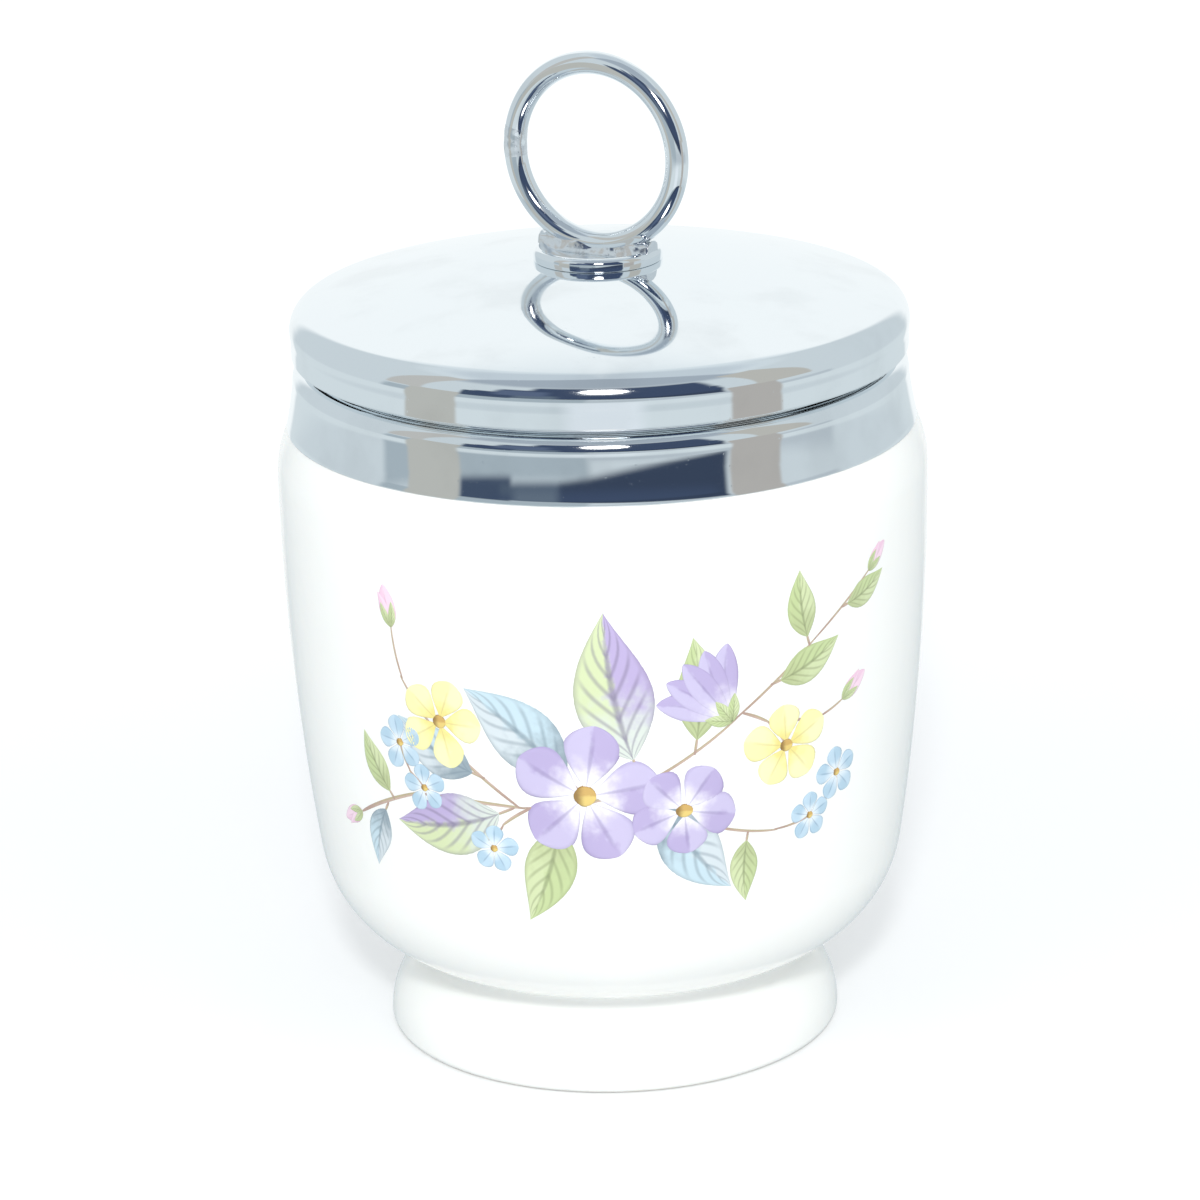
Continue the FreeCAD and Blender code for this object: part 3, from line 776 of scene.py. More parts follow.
def tube_faces(rows: int, across: int, closed: bool = False) -> list[tuple[int, ...]]:
    """List the faces of a tube, from the order of its vertices.

    Args:
        rows: Number of sections.
        across: Number of vertices round each section.
        closed: Whether the last section joins the first; else both ends are capped.

    Returns:
        Vertex numbers of each face.
    """
    faces: list[tuple[int, ...]] = []
    for row in range(rows if closed else rows - 1):
        low, high = row * across, (row + 1) % rows * across
        for index in range(across):
            following = (index + 1) % across
            faces.append((low + index, high + index, high + following, low + following))
    if not closed:
        last = (rows - 1) * across
        faces.append(tuple(range(across)))
        faces.append(tuple(last + index for index in reversed(range(across))))
    return faces


@dataclass
class ThreadFit:
    """What the two threads of the screw share, in millimetres."""

    pitch: float = 2.5
    ridge: float = 0.55
    width: float = 1.5


@dataclass
class ThreadRidge:
    """One rolled thread: a rounded ridge that winds round the axis and fades at its ends.

    Millimetres and degrees. It stands outwards on its wall, or inwards for Bend.IN, and its
    root lies a little inside the sheet.
    """

    fit: ThreadFit
    wall_radius: float
    turns: float
    start_height: float
    start_degrees: float
    side: Bend = Bend.OUT
    fade_degrees: float = 28.0
    root: float = 0.12
    crest_power: float = 1.4
    across: int = 10
    steps_per_turn: int = 144

    def build(self, name: str) -> bpy.types.Object:
        """Make the ridge's mesh.

        Args:
            name: Name of the object.

        Returns:
            The ridge as a closed object.
        """
        steps = round(self.turns * self.steps_per_turn)
        sign = self.side.value
        vertices: list[Vector] = []
        for step in range(steps + 1):
            wound = 360.0 * self.turns * step / steps
            to_end = min(wound, 360.0 * self.turns - wound)
            swell = math.sin(math.pi / 2 * min(1.0, to_end / self.fade_degrees)) ** 2
            angle = math.radians(self.start_degrees + wound)
            middle = self.start_height + self.fit.pitch * wound / 360.0
            for index in range(self.across + 1):
                share = index / self.across
                rise = math.sin(math.pi * share) ** self.crest_power * swell
                proud = rise * (self.fit.ridge + self.root) - self.root
                radius = self.wall_radius + sign * proud
                height = middle + (share - 0.5) * self.fit.width
                spot = Vector((radius * math.cos(angle), radius * math.sin(angle), height))
                vertices.append(spot * MM)
        faces = tube_faces(steps + 1, self.across + 1)
        if self.side is Bend.IN:
            faces = [face[::-1] for face in faces]
        return mesh_object(name, vertices, faces)


def place(piece: bpy.types.Object, finish: Finish, body: Body, *nodes: str) -> None:
    """Dress a piece, let it ride on a body and hide the nodes it stands for.

    Args:
        piece: The piece.
        finish: Its finish.
        body: The body it moves with.
        nodes: CAD nodes that it replaces.
    """
    finish.dress(piece)
    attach(piece, body.value)
    if nodes:
        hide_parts(*nodes)
    log.info("%s on %s, %d faces", piece.name, body.value, len(piece.data.polygons))


def reach(node: str) -> tuple[float, float, float]:
    """Measure a CAD node that is turned round the axis.

    Args:
        node: Name of the node.

    Returns:
        Its radius, lowest and highest point in millimetres.
    """
    low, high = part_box(node)
    return (high.x - low.x) / 2 / MM, low.z / MM, high.z / MM


# ------------------------------------------------------------------------- cup


@dataclass
class Cup:
    """Porcelain cup with its cemented and threaded band. Millimetres and degrees."""

    foot_radius: float = 22.5
    foot_arc: float = 8.0
    foot_round: float = 0.8
    foot_fillet: float = 1.2
    foot_width: float = 3.2
    foot_inner_round: float = 0.7
    recess_height: float = 7.8
    recess_taper: float = 2.6
    recess_fillet: float = 2.0
    floor_thickness: float = 4.0
    underside: float = 8.7
    corner_arc: float = 12.5
    side_arc: float = 262.0
    belly_height: float = 57.5
    side_wall: float = 3.3
    bowl_arc: float = 9.3
    cove_arc: float = 7.0
    neck_wall: float = 2.6
    mouth_radius: float = 24.6
    sheet: float = 0.6
    overhang: float = 0.05
    flare: float = 0.73
    flare_height: float = 4.8
    flare_arc: float = 43.0
    waist_arc: float = 5.0
    foot_edge_round: float = 0.12
    band_edge_round: float = 0.25
    cement_film: float = 0.5
    thread: ThreadFit = field(default_factory=ThreadFit)
    thread_turns: float = 1.1
    thread_drop: float = 1.05
    thread_start: float = 20.0

    def __post_init__(self) -> None:
        """Read from the frame where the cup and the band end."""
        self.belly_radius, _, self.lip_top = reach("porcelain_cup")
        self.band_foot, self.seat, self.band_top = reach("screw_collar")

    def build(self) -> None:
        """Make the cup, the band and its thread, and dress the cement."""
        place(self.porcelain(), PORCELAIN, Body.CUP, "porcelain_cup")
        outside = Outline()
        self.outer_side(outside)
        FlowerPrint(Skin(outside.points, self.belly_radius)).build()
        place(self.band(), CHROME_LID, Body.CUP, "screw_collar")
        place(self.neck_thread(), CHROME_LID, Body.CUP)
        CEMENT.dress(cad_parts["collar_cement"])

    @property
    def band_neck(self) -> float:
        """Outside radius of the band's plain neck."""
        return self.mouth_radius + self.neck_wall + self.cement_film + self.sheet

    @property
    def band_shoulder(self) -> float:
        """Radius of the round between the band's waist and its neck."""
        return self.band_foot - self.flare - self.band_neck

    def outer_side(self, outline: Outline) -> None:
        """Draw the cup's outside from the foot's rest plane to the band's ledge.

        Args:
            outline: Outline to go on with.
        """
        # The foot's arc and the corner's are joined by a hollow fillet that touches both.
        foot = Vector((self.foot_radius - self.foot_arc, self.foot_round))
        side_r = self.belly_radius - self.side_arc
        corner_z = self.underside + self.corner_arc
        drop = self.belly_height - corner_z
        gap = self.side_arc - self.corner_arc
        corner = Vector((side_r + math.sqrt(gap ** 2 - drop ** 2), corner_z))
        near, far = self.foot_arc + self.foot_fillet, self.corner_arc + self.foot_fillet
        across = corner - foot
        along = (across.length_squared + near ** 2 - far ** 2) / (2 * across.length)
        aside = math.sqrt(near ** 2 - along ** 2)
        unit = across.normalized()
        hollow = foot + unit * along + Vector((unit.y, -unit.x)) * aside
        foot_end = foot + (hollow - foot) * self.foot_arc / near
        corner_end = corner + (hollow - corner) * self.corner_arc / far
        side_centre = Vector((side_r, self.belly_height))
        side_end = side_centre + (corner - side_centre) * self.side_arc / gap
        seat_radius = self.band_foot - self.overhang
        bulge, rise = self.belly_radius - seat_radius, self.seat - self.belly_height
        outline.to(self.foot_radius - self.foot_round, 0.0)
        outline.arc(self.foot_radius, self.foot_round, self.foot_round)
        outline.arc(*foot_end, self.foot_arc)
        outline.arc(*corner_end, self.foot_fillet, Bend.IN)
        outline.arc(*side_end, self.corner_arc)
        outline.arc(self.belly_radius, self.belly_height, self.side_arc, steps=14)
        outline.arc(seat_radius, self.seat, (bulge ** 2 + rise ** 2) / (2 * bulge), steps=8)

    def inner_side(self, outline: Outline) -> None:
        """Draw the cup's inside from the lip down to the middle of the floor.

        Args:
            outline: Outline to go on with.
        """
        cavity = self.belly_radius - self.side_wall
        inset = cavity - self.mouth_radius
        cove_bottom = self.seat - math.sqrt(4 * self.cove_arc * inset - inset ** 2)
        floor = self.recess_height + self.floor_thickness
        inner_arc = self.side_arc - self.side_wall
        gap = inner_arc - self.bowl_arc
        centre = Vector((cavity - inner_arc, cove_bottom))
        bowl_z = floor + self.bowl_arc
        bowl = Vector((centre.x + math.sqrt(gap ** 2 - (cove_bottom - bowl_z) ** 2), bowl_z))
        wall_end = centre + (bowl - centre) * inner_arc / gap
        outline.to(self.mouth_radius, self.seat)
        outline.arc((self.mouth_radius + cavity) / 2, (self.seat + cove_bottom) / 2,
                    self.cove_arc)
        outline.arc(cavity, cove_bottom, self.cove_arc, Bend.IN)
        outline.arc(*wall_end, inner_arc, Bend.IN, steps=10)
        outline.arc(bowl.x, floor, self.bowl_arc, Bend.IN)
        outline.to(0.0, floor)

    def porcelain(self) -> bpy.types.Object:
        """Make the cup's porcelain.

        Returns:
            The piece.
        """
        outline = Outline()
        recess = self.foot_radius - self.foot_width
        ceiling = recess - self.recess_taper
        lip = self.neck_wall / 2
        outline.to(recess + self.foot_inner_round, 0.0)
        self.outer_side(outline)
        neck = self.mouth_radius + self.neck_wall
        outline.to(neck, self.seat).to(neck, self.lip_top - lip)
        outline.arc(neck - lip, self.lip_top, lip)
        outline.arc(self.mouth_radius, self.lip_top - lip, lip)
        self.inner_side(outline)
        outline.to(0.0, self.recess_height)
        outline.to(ceiling - self.recess_fillet, self.recess_height)
        outline.arc(ceiling, self.recess_height - self.recess_fillet, self.recess_fillet,
                    Bend.IN)
        outline.to(recess, self.foot_inner_round)
        outline.arc(recess + self.foot_inner_round, 0.0, self.foot_inner_round)
        outline.points.pop()
        return turned("cup_porcelain", outline)

    def band_joints(self, inset: float) -> tuple[Vector, Vector, Vector]:
        """Find where the curves of the band's side meet.

        The shoulder comes down upright into the arc of the waist, which lies inside the
        larger arc of the flare and touches it.

        Args:
            inset: Depth under the band's outside.

        Returns:
            The foot, the throat between flare and waist, and the waist under the shoulder.
        """
        foot = Vector((self.band_foot, self.seat))
        waist = foot + Vector((-self.flare, self.flare_height))
        hollow = waist + Vector((self.waist_arc, 0.0))
        slant = hollow - foot
        reach_in = self.flare_arc - self.waist_arc
        along = (slant.length_squared + self.flare_arc ** 2 - reach_in ** 2) \
            / (2 * slant.length)
        aside = math.sqrt(self.flare_arc ** 2 - along ** 2)
        unit = slant.normalized()
        centre = foot + unit * along + Vector((unit.y, -unit.x)) * aside
        bend = self.flare_arc + inset
        foot_r = centre.x - math.sqrt(bend ** 2 - (self.seat - centre.y) ** 2)
        throat = centre + (hollow - centre) * bend / reach_in
        return Vector((foot_r, self.seat)), throat, waist - Vector((inset, 0.0))

    def band(self) -> bpy.types.Object:
        """Make the spun band.

        Returns:
            The piece.
        """
        shoulder, sheet = self.band_shoulder, self.sheet
        crown = self.seat + self.flare_height + shoulder
        top, edge, lip = self.band_top, self.band_edge_round, self.foot_edge_round
        _, throat, waist = self.band_joints(0.0)
        foot_in, throat_in, waist_in = self.band_joints(sheet)
        outline = Outline()
        outline.to(*foot_in)
        outline.to(self.band_foot - lip, self.seat)
        outline.arc(self.band_foot, self.seat + lip, lip)
        outline.arc(*throat, self.flare_arc, Bend.IN, steps=8)
        outline.arc(*waist, self.waist_arc, Bend.IN)
        outline.arc(self.band_neck, crown, shoulder)
        outline.to(self.band_neck, top - edge)
        outline.arc(self.band_neck - edge, top, edge)
        outline.to(self.band_neck - sheet + edge, top)
        outline.arc(self.band_neck - sheet, top - edge, edge)
        outline.to(self.band_neck - sheet, crown - sheet)
        outline.to(self.band_neck, crown - sheet)
        outline.arc(*waist_in, shoulder - sheet, Bend.IN)
        outline.arc(*throat_in, self.waist_arc + sheet)
        outline.arc(*foot_in, self.flare_arc + sheet, steps=8)
        outline.points.pop()
        return turned("band", outline)

    def neck_thread(self) -> bpy.types.Object:
        """Make the thread rolled into the band's neck.

        Returns:
            The piece.
        """
        low = self.band_top - self.thread_drop - self.thread_turns * self.thread.pitch
        ridge = ThreadRidge(self.thread, self.band_neck, self.thread_turns, low,
                            self.thread_start)
        return ridge.build("band_thread")


# ----------------------------------------------------------------------- print


@dataclass
class Skin:
    """Outside of the cup, as the ground of its print. Millimetres."""

    points: list[Point]
    girth: float
    print_base: float = 6.0
    slope_step: float = 0.4

    def radius(self, height: float) -> float:
        """Measure the cup at a height.

        Args:
            height: Height above the foot.

        Returns:
            Its outside radius there.
        """
        for (low_r, low_z), (high_r, high_z) in zip(self.points, self.points[1:]):
            if low_z <= height <= high_z and low_z < high_z:
                return low_r + (high_r - low_r) * (height - low_z) / (high_z - low_z)
        return self.points[-1][0]

    def at(self, around: float, height: float, proud: float) -> Vector:
        """Find a place on or over the skin.

        Args:
            around: Distance to the right of the front, measured along the widest girth.
            height: Height above the print's base line.
            proud: Distance above the glaze.

        Returns:
            The place.
        """
        height += self.print_base
        radius, step = self.radius(height), self.slope_step
        slope = (self.radius(height + step) - self.radius(height - step)) / (2 * step)
        tilt = math.hypot(1.0, slope)
        radius += proud / tilt
        angle = around / self.girth
        return Vector((radius * math.sin(angle), -radius * math.cos(angle),
                       height - proud * slope / tilt))


@dataclass(frozen=True)
class Dab:
    """One brush dab, from its base along a bent spine to its tip. Millimetres, degrees.

    widest is the place of its greatest width as a share of its length, and a low taper
    keeps it full towards its ends.
    """

    start: Point
    heading: float
    length: float
    width: float
    bend: float = 0.0
    widest: float = 0.45
    taper: float = 0.9
    layer: int = 1
    least: float = 0.03
    spine_steps: int = 8

    def spine(self, share: float) -> tuple[Point, float]:
        """Find a point of the spine.

        Args:
            share: 0 at the base and 1 at the tip.

        Returns:
            The point and the heading there.
        """
        x, z = self.start
        run = self.length * share / self.spine_steps
        for step in range(self.spine_steps):
            turned_by = self.bend * share * (step + 0.5) / self.spine_steps
            angle = math.radians(self.heading + turned_by)
            x += math.cos(angle) * run
            z += math.sin(angle) * run
        return (x, z), self.heading + self.bend * share

    def half_width(self, share: float) -> float:
        """Measure half the dab's width.

        Args:
            share: 0 at the base and 1 at the tip.

        Returns:
            Half the width there.
        """
        power = math.log(0.5) / math.log(self.widest)
        swell = math.sin(math.pi * min(1.0, share ** power))
        return max(self.least, self.width * max(swell, 0.0) ** self.taper) / 2


@dataclass
class Inking:
    """All dabs of one ink, in layers that stand a little over one another. Millimetres."""

    ink: Ink
    across: tuple[float, ...] = (-1.0, -0.9, -0.6, -0.3, 0.0, 0.3, 0.6, 0.9, 1.0)
    rows_per_length: float = 3.2
    fewest_rows: int = 12
    most_rows: int = 32
    lift: float = 0.014
    layer_lift: float = 0.007
    edge_sink: float = 0.01
    thickness: float = 0.05
    vertices: list[Vector] = field(default_factory=list)
    faces: list[tuple[int, ...]] = field(default_factory=list)
    places: list[Point] = field(default_factory=list)

    def add(self, skin: Skin, dab: Dab) -> None:
        """Lay a dab on the skin.

        Args:
            skin: The cup's outside.
            dab: The dab.
        """
        rows = round(dab.length * self.rows_per_length)
        rows = max(self.fewest_rows, min(self.most_rows, rows))
        first = len(self.vertices)
        lift = self.lift + self.layer_lift * dab.layer
        for row in range(rows + 1):
            share = (1 - math.cos(math.pi * row / rows)) / 2
            (x, z), heading = dab.spine(share)
            half = dab.half_width(share)
            aside = math.radians(heading + 90)
            for offset in self.across:
                edge = row in (0, rows) or abs(offset) == 1.0
                proud = -self.edge_sink if edge else lift
                spot = skin.at(x + math.cos(aside) * offset * half,
                               z + math.sin(aside) * offset * half, proud)
                self.vertices.append(spot * MM)
                self.places.append((share, (offset + 1) / 2))
        width = len(self.across)
        for row in range(rows):
            for column in range(width - 1):
                low = first + row * width + column
                self.faces.append((low, low + width, low + width + 1, low + 1))

    def build(self, name: str) -> bpy.types.Object:
        """Make the dabs one object.

        Args:
            name: Name of the object.

        Returns:
            The object, as thin closed shells.
        """
        made = mesh_object(name, self.vertices, self.faces, sharp_degrees=80.0)
        layer = made.data.uv_layers.new(name=DAB_MAP)
        for loop in made.data.loops:
            layer.data[loop.index].uv = self.places[loop.vertex_index]
        shell = made.modifiers.new("shell", "SOLIDIFY")
        shell.thickness = self.thickness * MM
        shell.offset = -1.0
        return made


@dataclass
class FlowerPrint:
    """Garden flowers printed across the front: a slanting garland in soft colours.

    Degrees and, for lengths and widths, shares of the flower, leaf or stem.
    """

    skin: Skin
    seed: int = 12
    stem_overlap: float = 1.06
    stem_thinning: float = 0.5
    line_taper: float = 0.25
    stalk_share: float = 0.16
    stalk_width_mm: float = 0.3
    leaf_seat: float = 0.8
    leaf_share: float = 0.86
    petal_jitter: Span = (0.94, 1.06)
    petal_sway: Span = (-8.0, 8.0)
    petal_seat: float = 0.1
    petal_width: float = 4.3
    eye_share: float = 0.34
    bell_spreads: tuple[float, ...] = (-34.0, 34.0, -17.0, 17.0, 0.0)
    bell_fan: float = 0.55
    bell_curl: float = 0.9
    bell_width: float = 0.36
    sepal_spreads: tuple[float, ...] = (-42.0, 0.0, 42.0)
    sepal_length: float = 0.36
    sepal_width: float = 0.16
    bud_width: float = 0.5
    bud_fold: tuple[float, float, float] = (8.0, 0.86, 0.26)
    bud_sepal_spreads: Span = (-24.0, 26.0)
    bud_sepal_length: float = 0.62
    bud_sepal_width: float = 0.22
    bud_sepal_curl: float = 0.8

    def __post_init__(self) -> None:
        """Start with no ink laid."""
        self.inkings: dict[str, Inking] = {}
        self.rng = random.Random(self.seed)

    def dab(self, ink: Ink, start: Point, heading: float, length: float, width: float,
            **more: float) -> Dab:
        """Lay one dab.

        Args:
            ink: Its ink.
            start: Its base.
            heading: Direction of its base, 0 to the right and 90 up.
            length: Its length.
            width: Its greatest width.
            more: Other fields of Dab.

        Returns:
            The dab.
        """
        made = Dab(start, heading, length, width, **more)
        self.inkings.setdefault(ink.name, Inking(ink)).add(self.skin, made)
        return made

    def stem(self, points: list[Point], width: float = 0.42) -> None:
        """Draw a stem through points, thinner towards its end.

        Args:
            points: Places that it passes through.
            width: Its width at the start.
        """
        count = len(points) - 1
        for index, (start, end) in enumerate(zip(points, points[1:])):
            before = points[max(index - 1, 0)]
            after = points[min(index + 2, count)]
            into = math.degrees(math.atan2(end[1] - before[1], end[0] - before[0]))
            out = math.degrees(math.atan2(after[1] - start[1], after[0] - start[0]))
            bend = (out - into + 180) % 360 - 180
            run = math.dist(start, end)
            middle = math.degrees(math.atan2(end[1] - start[1], end[0] - start[0]))
            thinned = width * (1 - self.stem_thinning * index / max(count, 1))
            self.dab(STEM_BROWN, start, middle - bend / 2, run * self.stem_overlap, thinned,
                     bend=bend, taper=self.line_taper, layer=0)

    def leaf(self, ink: Ink, start: Point, heading: float, length: float,
             width: float, bend: float = 18.0, layer: int = 1) -> None:
        """Paint a smooth lance-shaped leaf on a short stalk.

        Args:
            ink: Its ink.
            start: Base of its stalk.
            heading: Direction of its base.
            length: Length of leaf and stalk.
            width: Its greatest width.
            bend: How far its spine turns.
            layer: Its layer.
        """
        stalk = self.dab(STEM_BROWN, start, heading, length * self.stalk_share,
                         self.stalk_width_mm, taper=self.line_taper, layer=0)
        base, _ = stalk.spine(self.leaf_seat)
        self.dab(ink, base, heading, length * self.leaf_share, width, bend=bend, widest=0.42,
                 taper=1.05, layer=layer)

    def open_flower(self, ink: Ink, middle: Point, radius: float, petals: int = 5,
                    turn: float = 90.0, squeeze: float = 1.0, layer: int = 3) -> None:
        """Paint a flower seen from the front.

        Args:
            ink: Ink of its petals.
            middle: Its middle.
            radius: Length of a petal.
            petals: Number of petals.
            turn: Direction of the first petal.
            squeeze: Height as a share of width, for a flower that looks aside.
            layer: Layer of its petals.
        """
        for index in range(petals):
            angle = math.radians(turn + 360 * index / petals)
            x, z = math.cos(angle), math.sin(angle) * squeeze
            length = radius * math.hypot(x, z) * self.rng.uniform(*self.petal_jitter)
            inset = radius * self.petal_seat
            self.dab(ink, (middle[0] + inset * x, middle[1] + inset * z),
                     math.degrees(math.atan2(z, x)), length, radius * self.petal_width / petals,
                     widest=0.64, taper=0.62, bend=self.rng.uniform(*self.petal_sway),
                     layer=layer + index % 2)
        eye = radius * self.eye_share
        self.dab(EYE_GOLD, (middle[0] - eye / 2, middle[1]), 0.0, eye, eye * squeeze,
                 widest=0.5, taper=0.5, layer=layer + 3)

    def bell(self, middle: Point, heading: float, size: float) -> None:
        """Paint a bell-shaped flower seen from the side, with its sepals.

        Args:
            middle: Where it joins its stalk.
            heading: Direction of its mouth.
            size: Its length.
        """
        for index, spread in enumerate(self.bell_spreads):
            self.dab(PETAL_LILAC, middle, heading + spread * self.bell_fan, size,
                     size * self.bell_width, bend=spread * self.bell_curl, widest=0.6,
                     taper=0.7, layer=2 + index)
        for spread in self.sepal_spreads:
            self.dab(LEAF_GREEN, middle, heading + spread, size * self.sepal_length,
                     size * self.sepal_width, layer=8)

    def bud(self, start: Point, heading: float, size: float) -> None:
        """Paint a closed bud with two sepals.

        Args:
            start: Its base.
            heading: Direction of its tip.
            size: Its length.
        """
        fold_turn, fold_length, fold_width = self.bud_fold
        self.dab(PETAL_PINK, start, heading, size, size * self.bud_width, widest=0.45,
                 taper=0.7, layer=2)
        self.dab(PETAL_PINK, start, heading + fold_turn, size * fold_length,
                 size * fold_width, bend=10.0, widest=0.5, layer=3)
        for spread in self.bud_sepal_spreads:
            self.dab(LEAF_GREEN, start, heading + spread, size * self.bud_sepal_length,
                     size * self.bud_sepal_width, bend=-spread * self.bud_sepal_curl, layer=4)

    def compose(self) -> None:
        """Lay out the garland, from the stems at the back to the buds in front."""
        # The main stem, then those that branch off it.
        self.stem([(-29.0, 22.5), (-20.0, 26.5), (-9.0, 26.5), (2.0, 28.5), (12.0, 34.5),
                   (21.0, 41.0), (28.5, 46.0)])
        for points in ([(-9.0, 26.5), (-16.0, 32.0), (-21.0, 38.0), (-22.0, 43.0)],
                       [(2.0, 28.5), (9.0, 24.5), (17.0, 22.5), (23.0, 23.6), (24.8, 26.0)],
                       [(13.0, 35.2), (15.8, 33.8), (18.0, 31.0)],
                       [(18.5, 33.5), (22.0, 33.0), (25.0, 34.0)],
                       [(-18.5, 26.7), (-21.0, 28.6), (-22.0, 31.4)],
                       [(-8.0, 26.5), (-10.8, 24.6), (-12.0, 22.0)]):
            self.stem(points, width=0.34)
        # Leaves: the large ones in the middle, then those towards both ends.
        self.leaf(LEAF_LILAC, (-9.5, 26.5), 205.0, 14.5, 6.6, bend=-26.0)
        self.leaf(LEAF_BLUE, (-12.4, 29.2), 162.0, 11.0, 5.0, bend=-22.0)
        self.leaf(LEAF_GREEN, (-5.0, 26.4), 262.0, 12.5, 5.4, bend=-22.0)
        self.leaf(LEAF_BLUE, (4.5, 28.0), 296.0, 13.5, 6.2, bend=24.0)
        self.leaf(LEAF_LILAC, (3.0, 29.5), 110.0, 17.5, 7.8, bend=-20.0)
        self.leaf(LEAF_GREEN, (8.2, 31.6), 82.0, 12.0, 4.8, bend=20.0)
        self.leaf(LEAF_BLUE, (-3.0, 28.5), 132.0, 15.0, 6.6, bend=16.0)
        self.leaf(LEAF_GREEN, (16.0, 37.5), 12.0, 9.0, 3.7, bend=22.0)
        self.leaf(LEAF_GREEN, (20.5, 40.5), 108.0, 8.0, 3.4, bend=-20.0)
        self.leaf(LEAF_GREEN, (24.5, 43.4), 8.0, 7.0, 2.8, bend=26.0)
        self.leaf(LEAF_GREEN, (-23.5, 25.1), 128.0, 7.5, 3.1, bend=-22.0)
        self.leaf(LEAF_BLUE, (-24.5, 24.6), 238.0, 8.0, 3.4, bend=24.0)
        self.leaf(LEAF_GREEN, (14.0, 22.9), 262.0, 7.5, 3.2, bend=20.0)
        # Large flowers.
        self.open_flower(PETAL_LILAC, (-2.5, 28.0), 6.6, turn=80.0)
        self.open_flower(PETAL_LILAC, (7.2, 26.0), 5.2, turn=58.0, squeeze=0.82)
        self.bell((12.0, 34.5), 128.0, 8.0)
        self.open_flower(PETAL_YELLOW, (18.0, 31.0), 4.3, turn=96.0, squeeze=0.9)
        self.open_flower(PETAL_YELLOW, (-17.0, 34.4), 4.2, turn=70.0)
        # Small flowers and buds at the ends of the stems.
        for middle, radius in (((-22.0, 31.4), 2.5), ((-19.4, 27.2), 2.3), ((24.8, 26.6), 2.5),
                               ((21.4, 23.0), 2.3), ((-12.0, 22.0), 2.3)):
            self.open_flower(PETAL_BLUE, middle, radius, turn=self.rng.uniform(0, 72))
        self.bud((-22.0, 43.0), 102.0, 4.2)
        self.bud((-29.0, 22.5), 204.0, 3.8)
        self.bud((28.5, 46.0), 40.0, 3.6)
        self.bud((25.0, 34.0), 32.0, 4.0)

    def build(self) -> None:
        """Print the garland on the cup."""
        self.compose()
        for name, inking in self.inkings.items():
            place(inking.build(name.replace("ink", "print", 1)), inking.ink, Body.CUP)


# ------------------------------------------------------------------------- lid


